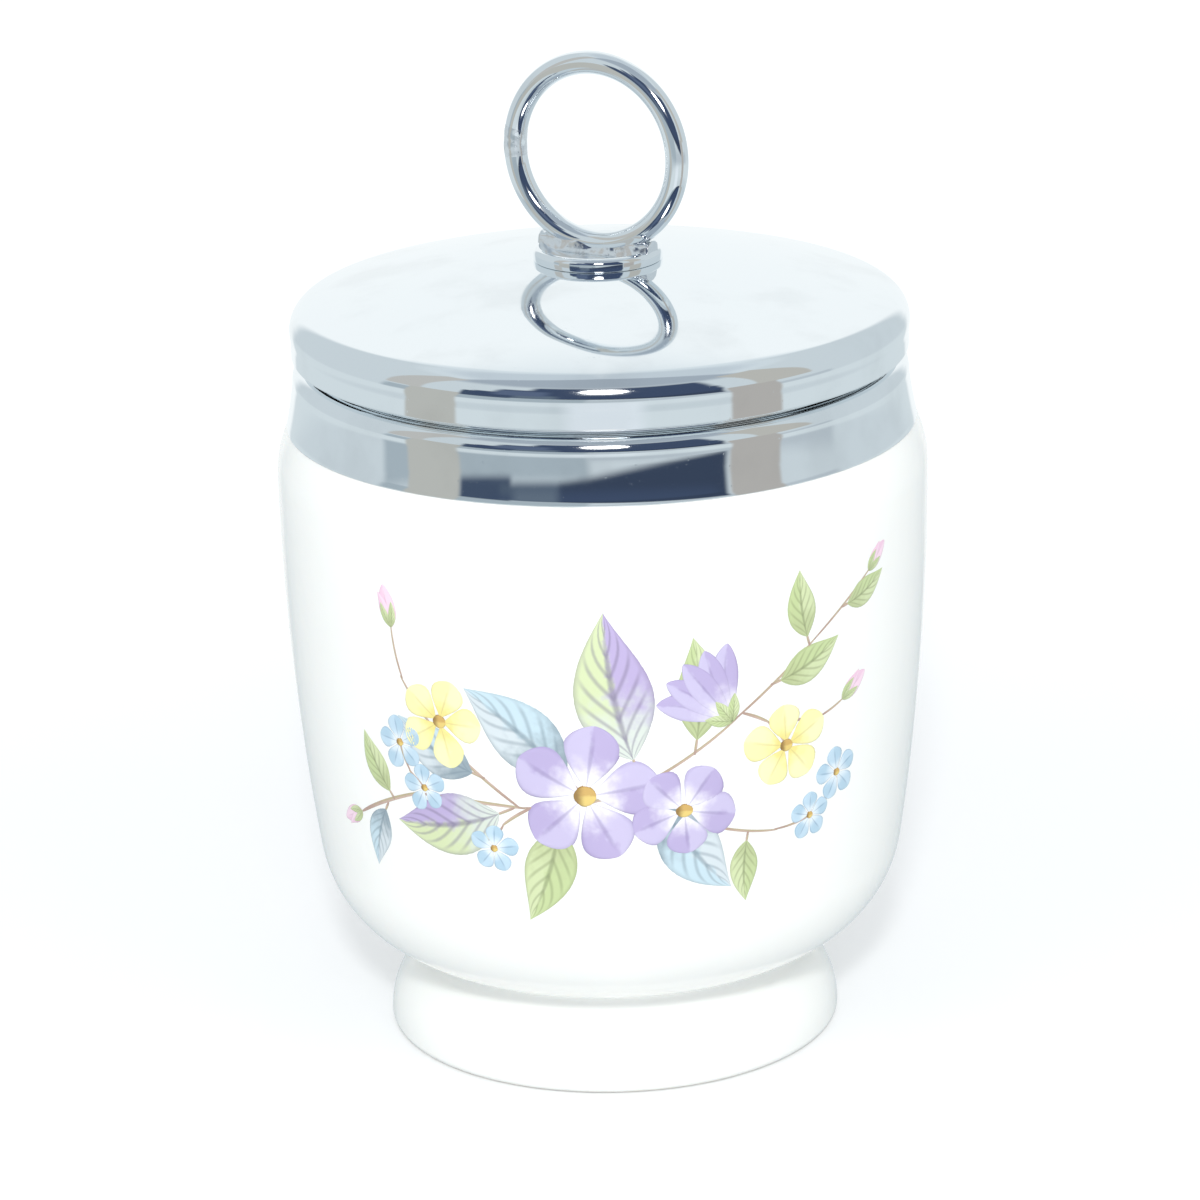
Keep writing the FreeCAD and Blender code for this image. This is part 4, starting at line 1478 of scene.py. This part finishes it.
@dataclass
class Lid:
    """Pressed screw lid with its boss, lifting ring and washer. Millimetres and degrees."""

    wall: float = 0.9
    rim_round: float = 0.25
    skirt_height: float = 2.7
    skirt_draw: float = 0.1
    draw_height: float = 1.3
    corner_arc: float = 2.55
    dome_arc: float = 103.5
    seat_sink: float = 0.25
    seat_margin: float = 0.15
    seat_bevel: float = 0.4
    boss_radius: float = 6.24
    boss_height: float = 1.3
    boss_roll: float = 0.6
    boss_heel: float = 0.12
    dish_floor_radius: float = 3.4
    dish_floor_height: float = 0.6
    dish_arc: float = 4.5
    spigot_radius: float = 1.6
    running_fit: float = 0.05
    washer_thickness: float = 0.6
    head_radius: float = 2.7
    head_height: float = 0.9
    thread: ThreadFit = field(default_factory=ThreadFit)
    thread_turns: float = 0.95
    thread_rise: float = 0.95
    thread_start: float = 200.0

    def __post_init__(self) -> None:
        """Read the rim from the frame and work out the dome and the boss's seat."""
        self.radius, self.rim, _ = reach("lid_shell")
        self.widest = self.rim + self.skirt_height
        self.corner_r = self.radius - self.corner_arc
        self.reach = self.dome_arc - self.corner_arc
        self.dome_z = self.widest - math.sqrt(self.reach ** 2 - self.corner_r ** 2)
        self.seat = self.dome_z + self.dome_arc - self.seat_sink

    def build(self) -> None:
        """Make the lid's pieces and dress the washer."""
        place(self.shell(), CHROME_LID, Body.LID, "lid_shell")
        place(self.skirt_thread(), CHROME_LID, Body.LID)
        place(self.boss(), CHROME_WIRE, Body.LID, "handle_boss")
        LiftingRing(self.seat, self.dish_floor_height).build()
        STEEL.dress(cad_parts["backing_washer"])

    def dome_point(self, arc: float) -> Vector:
        """Find where the dome meets the corner round.

        Args:
            arc: Radius of the dome's outside or inside.

        Returns:
            Radius and height of the joint.
        """
        share = arc / self.reach
        return Vector((self.corner_r * share,
                       self.dome_z + (self.widest - self.dome_z) * share))

    def shell(self) -> bpy.types.Object:
        """Make the lid's pressed sheet.

        Returns:
            The piece.
        """
        draw_arc = (self.skirt_draw ** 2 + self.draw_height ** 2) / (4 * self.skirt_draw)
        drawn = self.radius - self.skirt_draw
        skirt = self.radius - self.wall
        inner_arc = self.dome_arc - self.wall
        edge = self.boss_radius + self.seat_margin
        slope = edge + self.seat_bevel
        hole = self.spigot_radius + self.running_fit
        outline = Outline()
        outline.to(skirt, self.rim).to(drawn - self.rim_round, self.rim)
        outline.arc(drawn, self.rim + self.rim_round, self.rim_round)
        outline.to(drawn, self.widest - self.draw_height)
        outline.arc(self.radius - self.skirt_draw / 2, self.widest - self.draw_height / 2,
                    draw_arc, Bend.IN)
        outline.arc(self.radius, self.widest, draw_arc)
        outline.arc(*self.dome_point(self.dome_arc), self.corner_arc)
        outline.arc(slope, self.dome_z + math.sqrt(self.dome_arc ** 2 - slope ** 2),
                    self.dome_arc, steps=24)
        outline.to(edge, self.seat).to(hole, self.seat).to(hole, self.seat - self.wall)
        outline.to(edge, self.seat - self.wall)
        outline.to(slope, self.dome_z + math.sqrt(inner_arc ** 2 - slope ** 2))
        outline.arc(*self.dome_point(inner_arc), inner_arc, Bend.IN, steps=14)
        outline.arc(skirt, self.widest, self.corner_arc - self.wall, Bend.IN)
        return turned("lid", outline)

    def skirt_thread(self) -> bpy.types.Object:
        """Make the thread inside the skirt.

        Returns:
            The piece.
        """
        ridge = ThreadRidge(self.thread, self.radius - self.wall, self.thread_turns,
                            self.rim + self.thread_rise, self.thread_start, Bend.IN)
        return ridge.build("lid_thread")

    def boss(self) -> bpy.types.Object:
        """Make the dished boss with its spigot and hammered head.

        Returns:
            The piece.
        """
        crest_r, crest = self.boss_radius - self.boss_roll, self.seat + self.boss_height
        head_top = self.seat - self.wall - self.washer_thickness - 2 * self.running_fit
        head_arc = (self.head_radius ** 2 + self.head_height ** 2) / (2 * self.head_height)
        outline = Outline(fineness=8.0)
        outline.to(0.0, head_top - self.head_height)
        outline.arc(self.head_radius, head_top, head_arc)
        outline.to(self.spigot_radius, head_top).to(self.spigot_radius, self.seat)
        outline.to(self.boss_radius - self.boss_heel, self.seat)
        outline.arc(self.boss_radius, self.seat + self.boss_heel, self.boss_heel)
        outline.to(self.boss_radius, crest - self.boss_roll)
        outline.arc(crest_r, crest, self.boss_roll)
        outline.arc(self.dish_floor_radius, self.seat + self.dish_floor_height,
                    self.dish_arc, Bend.IN)
        outline.to(0.0, self.seat + self.dish_floor_height)
        return turned("boss", outline, around=128)


# ---------------------------------------------------------------- lifting ring


@dataclass
class LiftingRing:
    """Wire ring with its butt weld, and the braze that beds it in the boss.

    Millimetres and degrees. Angles round the ring count from its right side upwards. The
    braze's section is drawn in shares of its half width and height, its ends in shares of
    its reach, and waves and grain in cells per millimetre.
    """

    seat: float
    dish_floor: float
    wire_radius: float = 1.125
    wire_facets: int = 40
    ring_radius: float = 8.8
    ring_steps: int = 192
    ring_turn: float = 28.8
    wire_bed: float = 1.53
    weld_angle: float = 177.0
    weld_spread: float = 11.0
    weld_steps: int = 24
    weld_swell: float = 0.06
    weld_fullness: float = 0.7
    weld_sink: float = 0.02
    weld_lump: tuple[float, float] = (0.6, 1.1)
    weld_lump_cells: float = 1.3
    braze_reach: float = 6.1
    braze_height: float = 2.15
    braze_width: float = 3.2
    braze_sink: float = 0.15
    braze_stations: int = 72
    braze_flank: tuple[Point, ...] = (
        (1.0, 0.0), (0.86, 0.2), (0.76, 0.42), (0.71, 0.62), (0.68, 0.8), (0.60, 0.93),
        (0.45, 1.0), (0.2, 1.0))
    bead_share: float = 0.6
    bead_rise: float = 0.2
    bead_slope: float = 1.2
    crown_fall: float = 0.05
    end_zone: float = 0.9
    end_stretch: float = 1.06
    end_square: float = 14.0
    end_width: float = 0.82
    end_height: float = 0.9
    wave_cells: tuple[float, float, float] = (0.55, 1.0, 0.7)
    wave_aside: float = 0.12
    wave_up: float = 0.07
    grain_cells: float = 1.9
    grain_aside: float = 0.05
    grain_up: float = 0.04
    foot_wave: float = 0.4
    wave_growth: float = 3.0

    def __post_init__(self) -> None:
        """Work out the directions along the ring's plane and square to it."""
        turn = -math.radians(self.ring_turn)
        self.along = Vector((math.cos(turn), math.sin(turn), 0.0))
        self.aside = Vector((-math.sin(turn), math.cos(turn), 0.0))

    def build(self) -> None:
        """Make the ring, its weld and the braze."""
        ring = self.wire_tube("lifting_ring", 0.0, 360.0, self.ring_steps)
        place(ring, CHROME_WIRE, Body.LID, "handle_ring")
        weld = self.wire_tube("ring_weld", self.weld_angle - self.weld_spread,
                              self.weld_angle + self.weld_spread, self.weld_steps,
                              self.weld_swell)
        place(weld, BRAZE, Body.LID)
        place(self.braze(), BRAZE, Body.LID, "ring_braze")

    def wire_tube(self, name: str, first: float, last: float, steps: int,
                  swell: float = 0.0) -> bpy.types.Object:
        """Sweep the wire round the ring, whole or in part.

        Args:
            name: Name of the object.
            first: Angle where it starts.
            last: Angle where it ends.
            steps: Number of sections.
            swell: How far a lumpy sleeve stands over the wire in its middle.

        Returns:
            A ring if the wire comes back to its start, and else a sleeve that fades
            into the wire at both ends.
        """
        centre = Vector((0.0, 0.0, self.seat + self.wire_bed + self.ring_radius))
        whole = abs(last - first) >= 360.0
        rows = steps if whole else steps + 1
        sink = self.weld_sink if swell else 0.0
        least, spread = self.weld_lump
        vertices: list[Vector] = []
        for row in range(rows):
            angle = math.radians(first + (last - first) * row / steps)
            outward = self.along * math.cos(angle) + Vector((0, 0, math.sin(angle)))
            rise = swell * math.sin(math.pi * row / steps) ** self.weld_fullness - sink
            for index in range(self.wire_facets):
                turn = 2 * math.pi * index / self.wire_facets
                side = outward * math.cos(turn) + self.aside * math.sin(turn)
                spot = centre + outward * self.ring_radius + side * self.wire_radius
                lump = least + spread * noise.noise(spot * self.weld_lump_cells)
                vertices.append((spot + side * rise * lump) * MM)
        faces = tube_faces(rows, self.wire_facets, closed=whole)
        return mesh_object(name, vertices, faces, sharp_degrees=60.0)

    def braze_top(self, along: float, aside: float) -> float:
        """Measure how high the braze stands over the boss's seat.

        Args:
            along: Distance from the axis along the ring's plane.
            aside: Distance from the ring's plane as a share of the braze's half width.

        Returns:
            Height over the seat, rising in a bead to the wire where that is higher.
        """
        off = abs(aside)
        slope = math.asin(min(1.0, abs(along) / self.ring_radius))
        wire = self.wire_bed + self.ring_radius * (1 - math.cos(slope))
        under = wire - self.wire_radius / math.cos(slope) + self.bead_rise
        crown = self.braze_height * (1 - self.crown_fall * (off / self.bead_share) ** 2)
        return max(crown, under - self.bead_slope * off) if off < self.bead_share else crown

    def station(self, share: float) -> float:
        """Spread the braze's stations out in its middle and bunch them at its ends.

        Args:
            share: Place from -1 at one end to 1 at the other.

        Returns:
            Distance from the axis along the ring's plane.
        """
        if abs(share) < self.end_zone:
            return self.braze_reach * self.end_stretch * share
        begin = self.end_stretch * self.end_zone
        past = (abs(share) - self.end_zone) / (1 - self.end_zone)
        return self.braze_reach * math.copysign(begin + (1 - begin) * past, share)

    def ripple(self, spot: Vector, aside: float, rise: float) -> Vector:
        """Find how far the braze's flow shifts a point of its skin.

        Args:
            spot: The point along, aside and over the seat, before the shift.
            aside: Distance from the ring's plane as a share of the half width.
            rise: Height as a share of the braze's height there.

        Returns:
            The shift, which is small at the foot.
        """
        along_cells, aside_cells, rise_cells = self.wave_cells
        wave = noise.noise(Vector((spot.x * along_cells, aside * aside_cells,
                                   rise * rise_cells)))
        grain = noise.noise(spot * self.grain_cells)
        outward = math.copysign(1.0, aside)
        shift = Vector((self.grain_aside * grain,
                        (self.wave_aside * wave + self.grain_aside * grain) * outward,
                        self.wave_up * wave + self.grain_up * grain))
        return shift * min(1.0, self.foot_wave + self.wave_growth * rise)

    def braze(self) -> bpy.types.Object:
        """Make the braze that fills up under the wire, lumpy and flush with the boss.

        Returns:
            The piece.
        """
        mirrored = tuple((-aside, rise) for aside, rise in reversed(self.braze_flank))
        section = self.braze_flank + mirrored
        foot = self.dish_floor - self.braze_sink
        vertices: list[Vector] = []
        for station in range(self.braze_stations + 1):
            share = -math.cos(math.pi * station / self.braze_stations)
            along = self.station(share)
            full = max(0.0, 1 - abs(share) ** self.end_square) ** 0.5
            half = self.braze_width / 2 * (self.end_width + (1 - self.end_width) * full)
            height = self.end_height + (1 - self.end_height) * full
            for aside, rise in section:
                top = (self.braze_top(along, aside) - foot) * height
                spot = Vector((along, aside * half, foot + top * rise))
                spot += self.ripple(spot, aside, rise)
                limit = math.sqrt(self.braze_reach ** 2 - spot.y ** 2)
                level = max(-limit, min(limit, spot.x))
                vertices.append((self.along * level + self.aside * spot.y
                                 + Vector((0, 0, self.seat + spot.z))) * MM)
        faces = tube_faces(self.braze_stations + 1, len(section))
        made = mesh_object("braze", vertices, faces, sharp_degrees=75.0)
        rounding = made.modifiers.new("rounding", "SUBSURF")
        rounding.levels = rounding.render_levels = 1
        return made


# ---------------------------------------------------------------------- studio


@dataclass(frozen=True)
class RoomPatch:
    """Part of the room that polished metal mirrors.

    Degrees: azimuth is 0 towards the front and grows to the right; elevation is above
    the horizon. Its edge is soft by so many degrees, and it climbs to the right by slope
    degrees of elevation for each of azimuth.
    """

    azimuth: Span
    elevation: Span
    shade: Colour
    soft: float = 4.0
    slope: float = 0.0


@dataclass
class Studio:
    """Floor, world, lamps and camera.

    Metres and degrees, but millimetres for the camera's lens, sensor and place.
    """

    floor_half: float = 3.0
    floor_shade: Colour = (0.80, 0.81, 0.82, 1.0)
    floor_glow: Colour = (0.97, 0.985, 1.0, 1.0)
    # The floor glows less near the coddler than far off, which paints shade on the floor round
    # it.
    near_glow: float = 0.15
    far_glow: float = 0.36
    glow_ramp: Span = (0.05, 0.3)
    even_light: Colour = (0.80, 0.82, 0.83, 1.0)
    aim_height: float = 0.055
    lens: float = 148.08
    sensor: float = 36.0
    camera_place: tuple[float, float, float] = (-0.5825, -463.0, 195.11)
    pitch: float = 18.162
    roll: float = -1.349
    nearest: float = 0.01
    back_wall: Colour = (0.95, 0.99, 1.0, 1.0)
    mirror_height: float = 0.066
    room: tuple[RoomPatch, ...] = (
        # Ceiling and walls.
        RoomPatch((-181, 181), (46, 95), colour(219, 229, 234), 14.0),
        RoomPatch((-181, 181), (60, 95), colour(198, 209, 217), 14.0),
        RoomPatch((-150, 150), (-95, 56), colour(205, 215, 220), 10.0),
        RoomPatch((-72, 72), (47, 95), colour(165, 176, 187), 12.0),
        # Table top, from close by to its far edge.
        # Close by, the table is painted darker: painted shadow of the coddler on the table, as
        # the metal sees it.
        RoomPatch((-150, 150), (-95, -22), colour(201, 212, 217), 5.0),
        RoomPatch((-150, 150), (-19, -10), colour(214, 224, 228), 4.0),
        RoomPatch((-12, 14), (-70, -11), colour(230, 238, 244), 8.0),
        RoomPatch((-84, -5), (-10, 1.5), colour(168, 181, 189), 4.0),
        RoomPatch((-5, 90), (-10, -4), colour(187, 197, 204), 4.0),
        # Warm curtains on both sides.
        RoomPatch((-73, -52), (-40, 6), colour(187, 188, 183), 2.0),
        RoomPatch((-84, -68), (4, 54), colour(191, 191, 188), 2.0),
        RoomPatch((46, 66), (-40, 6), colour(180, 177, 173), 2.0),
        RoomPatch((58, 82), (4, 54), colour(188, 187, 181), 2.0),
        # Dark figure in front, with paler arms.
        RoomPatch((-52, -33), (0.5, 19), colour(68, 82, 104), 2.5),
        RoomPatch((-37, 0), (2.0, 19), colour(80, 94, 112), 3.0),
        RoomPatch((-16, 44.5), (0.4, 19), colour(57, 69, 90), 3.0, -0.13),
        RoomPatch((-48, 44), (6, 22), colour(64, 78, 104), 4.0),
        RoomPatch((-40, 40), (5, 34), colour(64, 78, 104), 5.0),
        RoomPatch((-28, 42), (5, 45), colour(64, 78, 104), 6.0),
        RoomPatch((-32, -16), (3.0, 14), colour(98, 112, 128), 5.0),
        RoomPatch((-40, -20), (12, 30), colour(90, 104, 130), 6.0),
        # Glow of the flash, above and on the table.
        RoomPatch((-6, 7), (20, 42), colour(252, 254, 255), 8.0),
        RoomPatch((-6, 7), (-70, -26), colour(252, 254, 255), 8.0),
    )

    def build(self) -> None:
        """Make the studio."""
        self.floor()
        self.world()
        self.lamps()
        self.camera()
        bpy.context.scene.view_settings.view_transform = "Standard"

    def floor(self) -> None:
        """Lay the pale floor: white to the camera outside the shadow, the room to metal."""
        half = self.floor_half
        plan = ((-half, -half), (half, -half), (half, half), (-half, half))
        corners = [Vector((x, y, 0.0)) for x, y in plan]
        ground = mesh_object("floor", corners, [(0, 1, 2, 3)])
        made = bpy.data.materials.new("pale_floor")
        made.use_nodes = True
        wires = Wiring(made.node_tree)
        path = wires.node("ShaderNodeLightPath")
        seen, mirrored = path.outputs["Is Camera Ray"], path.outputs["Is Glossy Ray"]
        spot = wires.node("ShaderNodeSeparateXYZ")
        wires.feed(spot.inputs[0], wires.node("ShaderNodeTexCoord").outputs["Object"])
        east, north, _ = spot.outputs
        azimuth = wires.azimuth(east, north)
        squares = (wires.math("MULTIPLY", part, part) for part in (east, north))
        away = wires.math("SQRT", wires.math("ADD", *squares))
        elevation = wires.math("DEGREES", wires.math("ARCTAN2", -self.mirror_height, away))
        paper = wires.node("ShaderNodeBsdfDiffuse")
        wires.feed(paper.inputs["Color"],
                   wires.blend(mirrored, self.floor_shade, BLACK))
        glow = wires.node("ShaderNodeEmission")
        room = self.room_shade(wires, azimuth, elevation)
        wires.feed(glow.inputs["Color"], wires.blend(mirrored, self.floor_glow, room))
        # Weaker glow near the coddler: painted shade round it on the floor.
        strength = wires.math("MULTIPLY_ADD", wires.smooth(away, *self.glow_ramp),
                              self.far_glow - self.near_glow, self.near_glow)
        wires.feed(glow.inputs["Strength"],
                   wires.math("MULTIPLY_ADD", seen, strength, mirrored))
        both = wires.node("ShaderNodeAddShader")
        wires.feed(both.inputs[0], paper.outputs[0])
        wires.feed(both.inputs[1], glow.outputs[0])
        out = wires.node("ShaderNodeOutputMaterial")
        wires.feed(out.inputs["Surface"], both.outputs[0])
        ground.data.materials.append(made)

    def room_shade(self, wires: Wiring, azimuth: bpy.types.NodeSocket,
                   elevation: bpy.types.NodeSocket) -> bpy.types.NodeSocket:
        """Colour the room by direction.

        Args:
            wires: Wiring of the world or the floor.
            azimuth: Azimuth's socket, degrees.
            elevation: Elevation's socket, degrees.

        Returns:
            The colour that metal mirrors from there.
        """
        shade: object = self.back_wall
        for patch in self.room:
            shade = wires.blend(self.patch_share(wires, azimuth, elevation, patch),
                                shade, patch.shade)
        return shade

    def patch_share(self, wires: Wiring, azimuth: bpy.types.NodeSocket,
                    elevation: bpy.types.NodeSocket, patch: RoomPatch) -> bpy.types.NodeSocket:
        """Say how much a direction lies in a patch of the room.

        Args:
            wires: Wiring of the world or the floor.
            azimuth: Azimuth's socket, degrees.
            elevation: Elevation's socket, degrees.
            patch: The patch.

        Returns:
            Share from 0 to 1.
        """
        share: object = 1.0
        half = patch.soft / 2
        level = wires.math("MULTIPLY_ADD", azimuth, -patch.slope, elevation)
        for value, (low, high) in ((azimuth, patch.azimuth), (level, patch.elevation)):
            entering = wires.smooth(value, low - half, low + half)
            leaving = wires.smooth(value, high + half, high - half)
            share = wires.math("MULTIPLY", share, wires.math("MULTIPLY", entering, leaving))
        return share

    def world(self) -> None:
        """White to the camera, a plain even light to matt things, and a room to metal."""
        world = bpy.data.worlds.new("studio")
        bpy.context.scene.world = world
        world.use_nodes = True
        wires = Wiring(world.node_tree)
        direction = wires.node("ShaderNodeSeparateXYZ")
        wires.feed(direction.inputs[0], wires.node("ShaderNodeTexCoord").outputs["Generated"])
        east, north, up = direction.outputs
        elevation = wires.math("DEGREES", wires.math("ARCSINE", up))
        shade = self.room_shade(wires, wires.azimuth(east, north), elevation)
        path = wires.node("ShaderNodeLightPath")
        mirrored = wires.blend(path.outputs["Is Glossy Ray"], self.even_light, shade)
        seen = wires.blend(path.outputs["Is Camera Ray"], mirrored, WHITE)
        light = wires.node("ShaderNodeBackground")
        wires.feed(light.inputs["Color"], seen)
        out = wires.node("ShaderNodeOutputWorld")
        wires.feed(out.inputs["Surface"], light.outputs[0])

    def lamp(self, name: str, azimuth: float, elevation: float, distance: float,
             size: float, power: float, mirrored: bool = False) -> None:
        """Add a round lamp that points at the coddler.

        Args:
            name: Its name.
            azimuth: Degrees from the front, to the right.
            elevation: Degrees above the horizon.
            distance: Metres from the coddler's middle.
            size: Diameter in metres.
            power: Watts.
            mirrored: Whether polished metal shows it.
        """
        data = bpy.data.lights.new(name, "AREA")
        data.shape = "DISK"
        data.size = size
        data.energy = power
        lamp = bpy.data.objects.new(name, data)
        bpy.context.scene.collection.objects.link(lamp)
        turn, rise = math.radians(azimuth), math.radians(elevation)
        toward = Vector((math.sin(turn) * math.cos(rise), -math.cos(turn) * math.cos(rise),
                         math.sin(rise)))
        middle = Vector((0.0, 0.0, self.aim_height))
        lamp.location = middle + toward * distance
        lamp.rotation_euler = toward.to_track_quat("Z", "Y").to_euler()
        lamp.visible_glossy = mirrored

    def lamps(self) -> None:
        """Hang the lamps: the flash with its small bright bulb, and a weak fill on each side."""
        self.lamp("flash", 1.0, 31.0, distance=0.9, size=0.24, power=0.8, mirrored=True)
        self.lamp("bulb", -1.0, 31.0, distance=0.9, size=0.08, power=2.8)
        for name, azimuth in (("left_fill", -42.0), ("right_fill", 42.0)):
            self.lamp(name, azimuth, 38.0, distance=1.0, size=0.5, power=0.7)

    def camera(self) -> None:
        """Set up the camera."""
        data = bpy.data.cameras.new("camera")
        data.lens = self.lens
        data.sensor_width = self.sensor
        data.clip_start = self.nearest
        camera = bpy.data.objects.new("camera", data)
        bpy.context.scene.collection.objects.link(camera)
        down, tilt = math.radians(self.pitch), math.radians(self.roll)
        ahead = Vector((0.0, math.cos(down), -math.sin(down)))
        level = Vector((1.0, 0.0, 0.0))
        up = level.cross(ahead)
        right = level * math.cos(tilt) + up * math.sin(tilt)
        top = up * math.cos(tilt) - level * math.sin(tilt)
        turn = Matrix((right, top, -ahead)).transposed()
        camera.matrix_world = Matrix.Translation(Vector(self.camera_place) * MM) @ turn.to_4x4()
        bpy.context.scene.camera = camera


def main() -> None:
    """Build the coddler and its studio."""
    logging.basicConfig(level=logging.INFO, format="%(name)s: %(message)s")
    Studio().build()
    Cup().build()
    Lid().build()


if __name__ == "__main__":
    main()
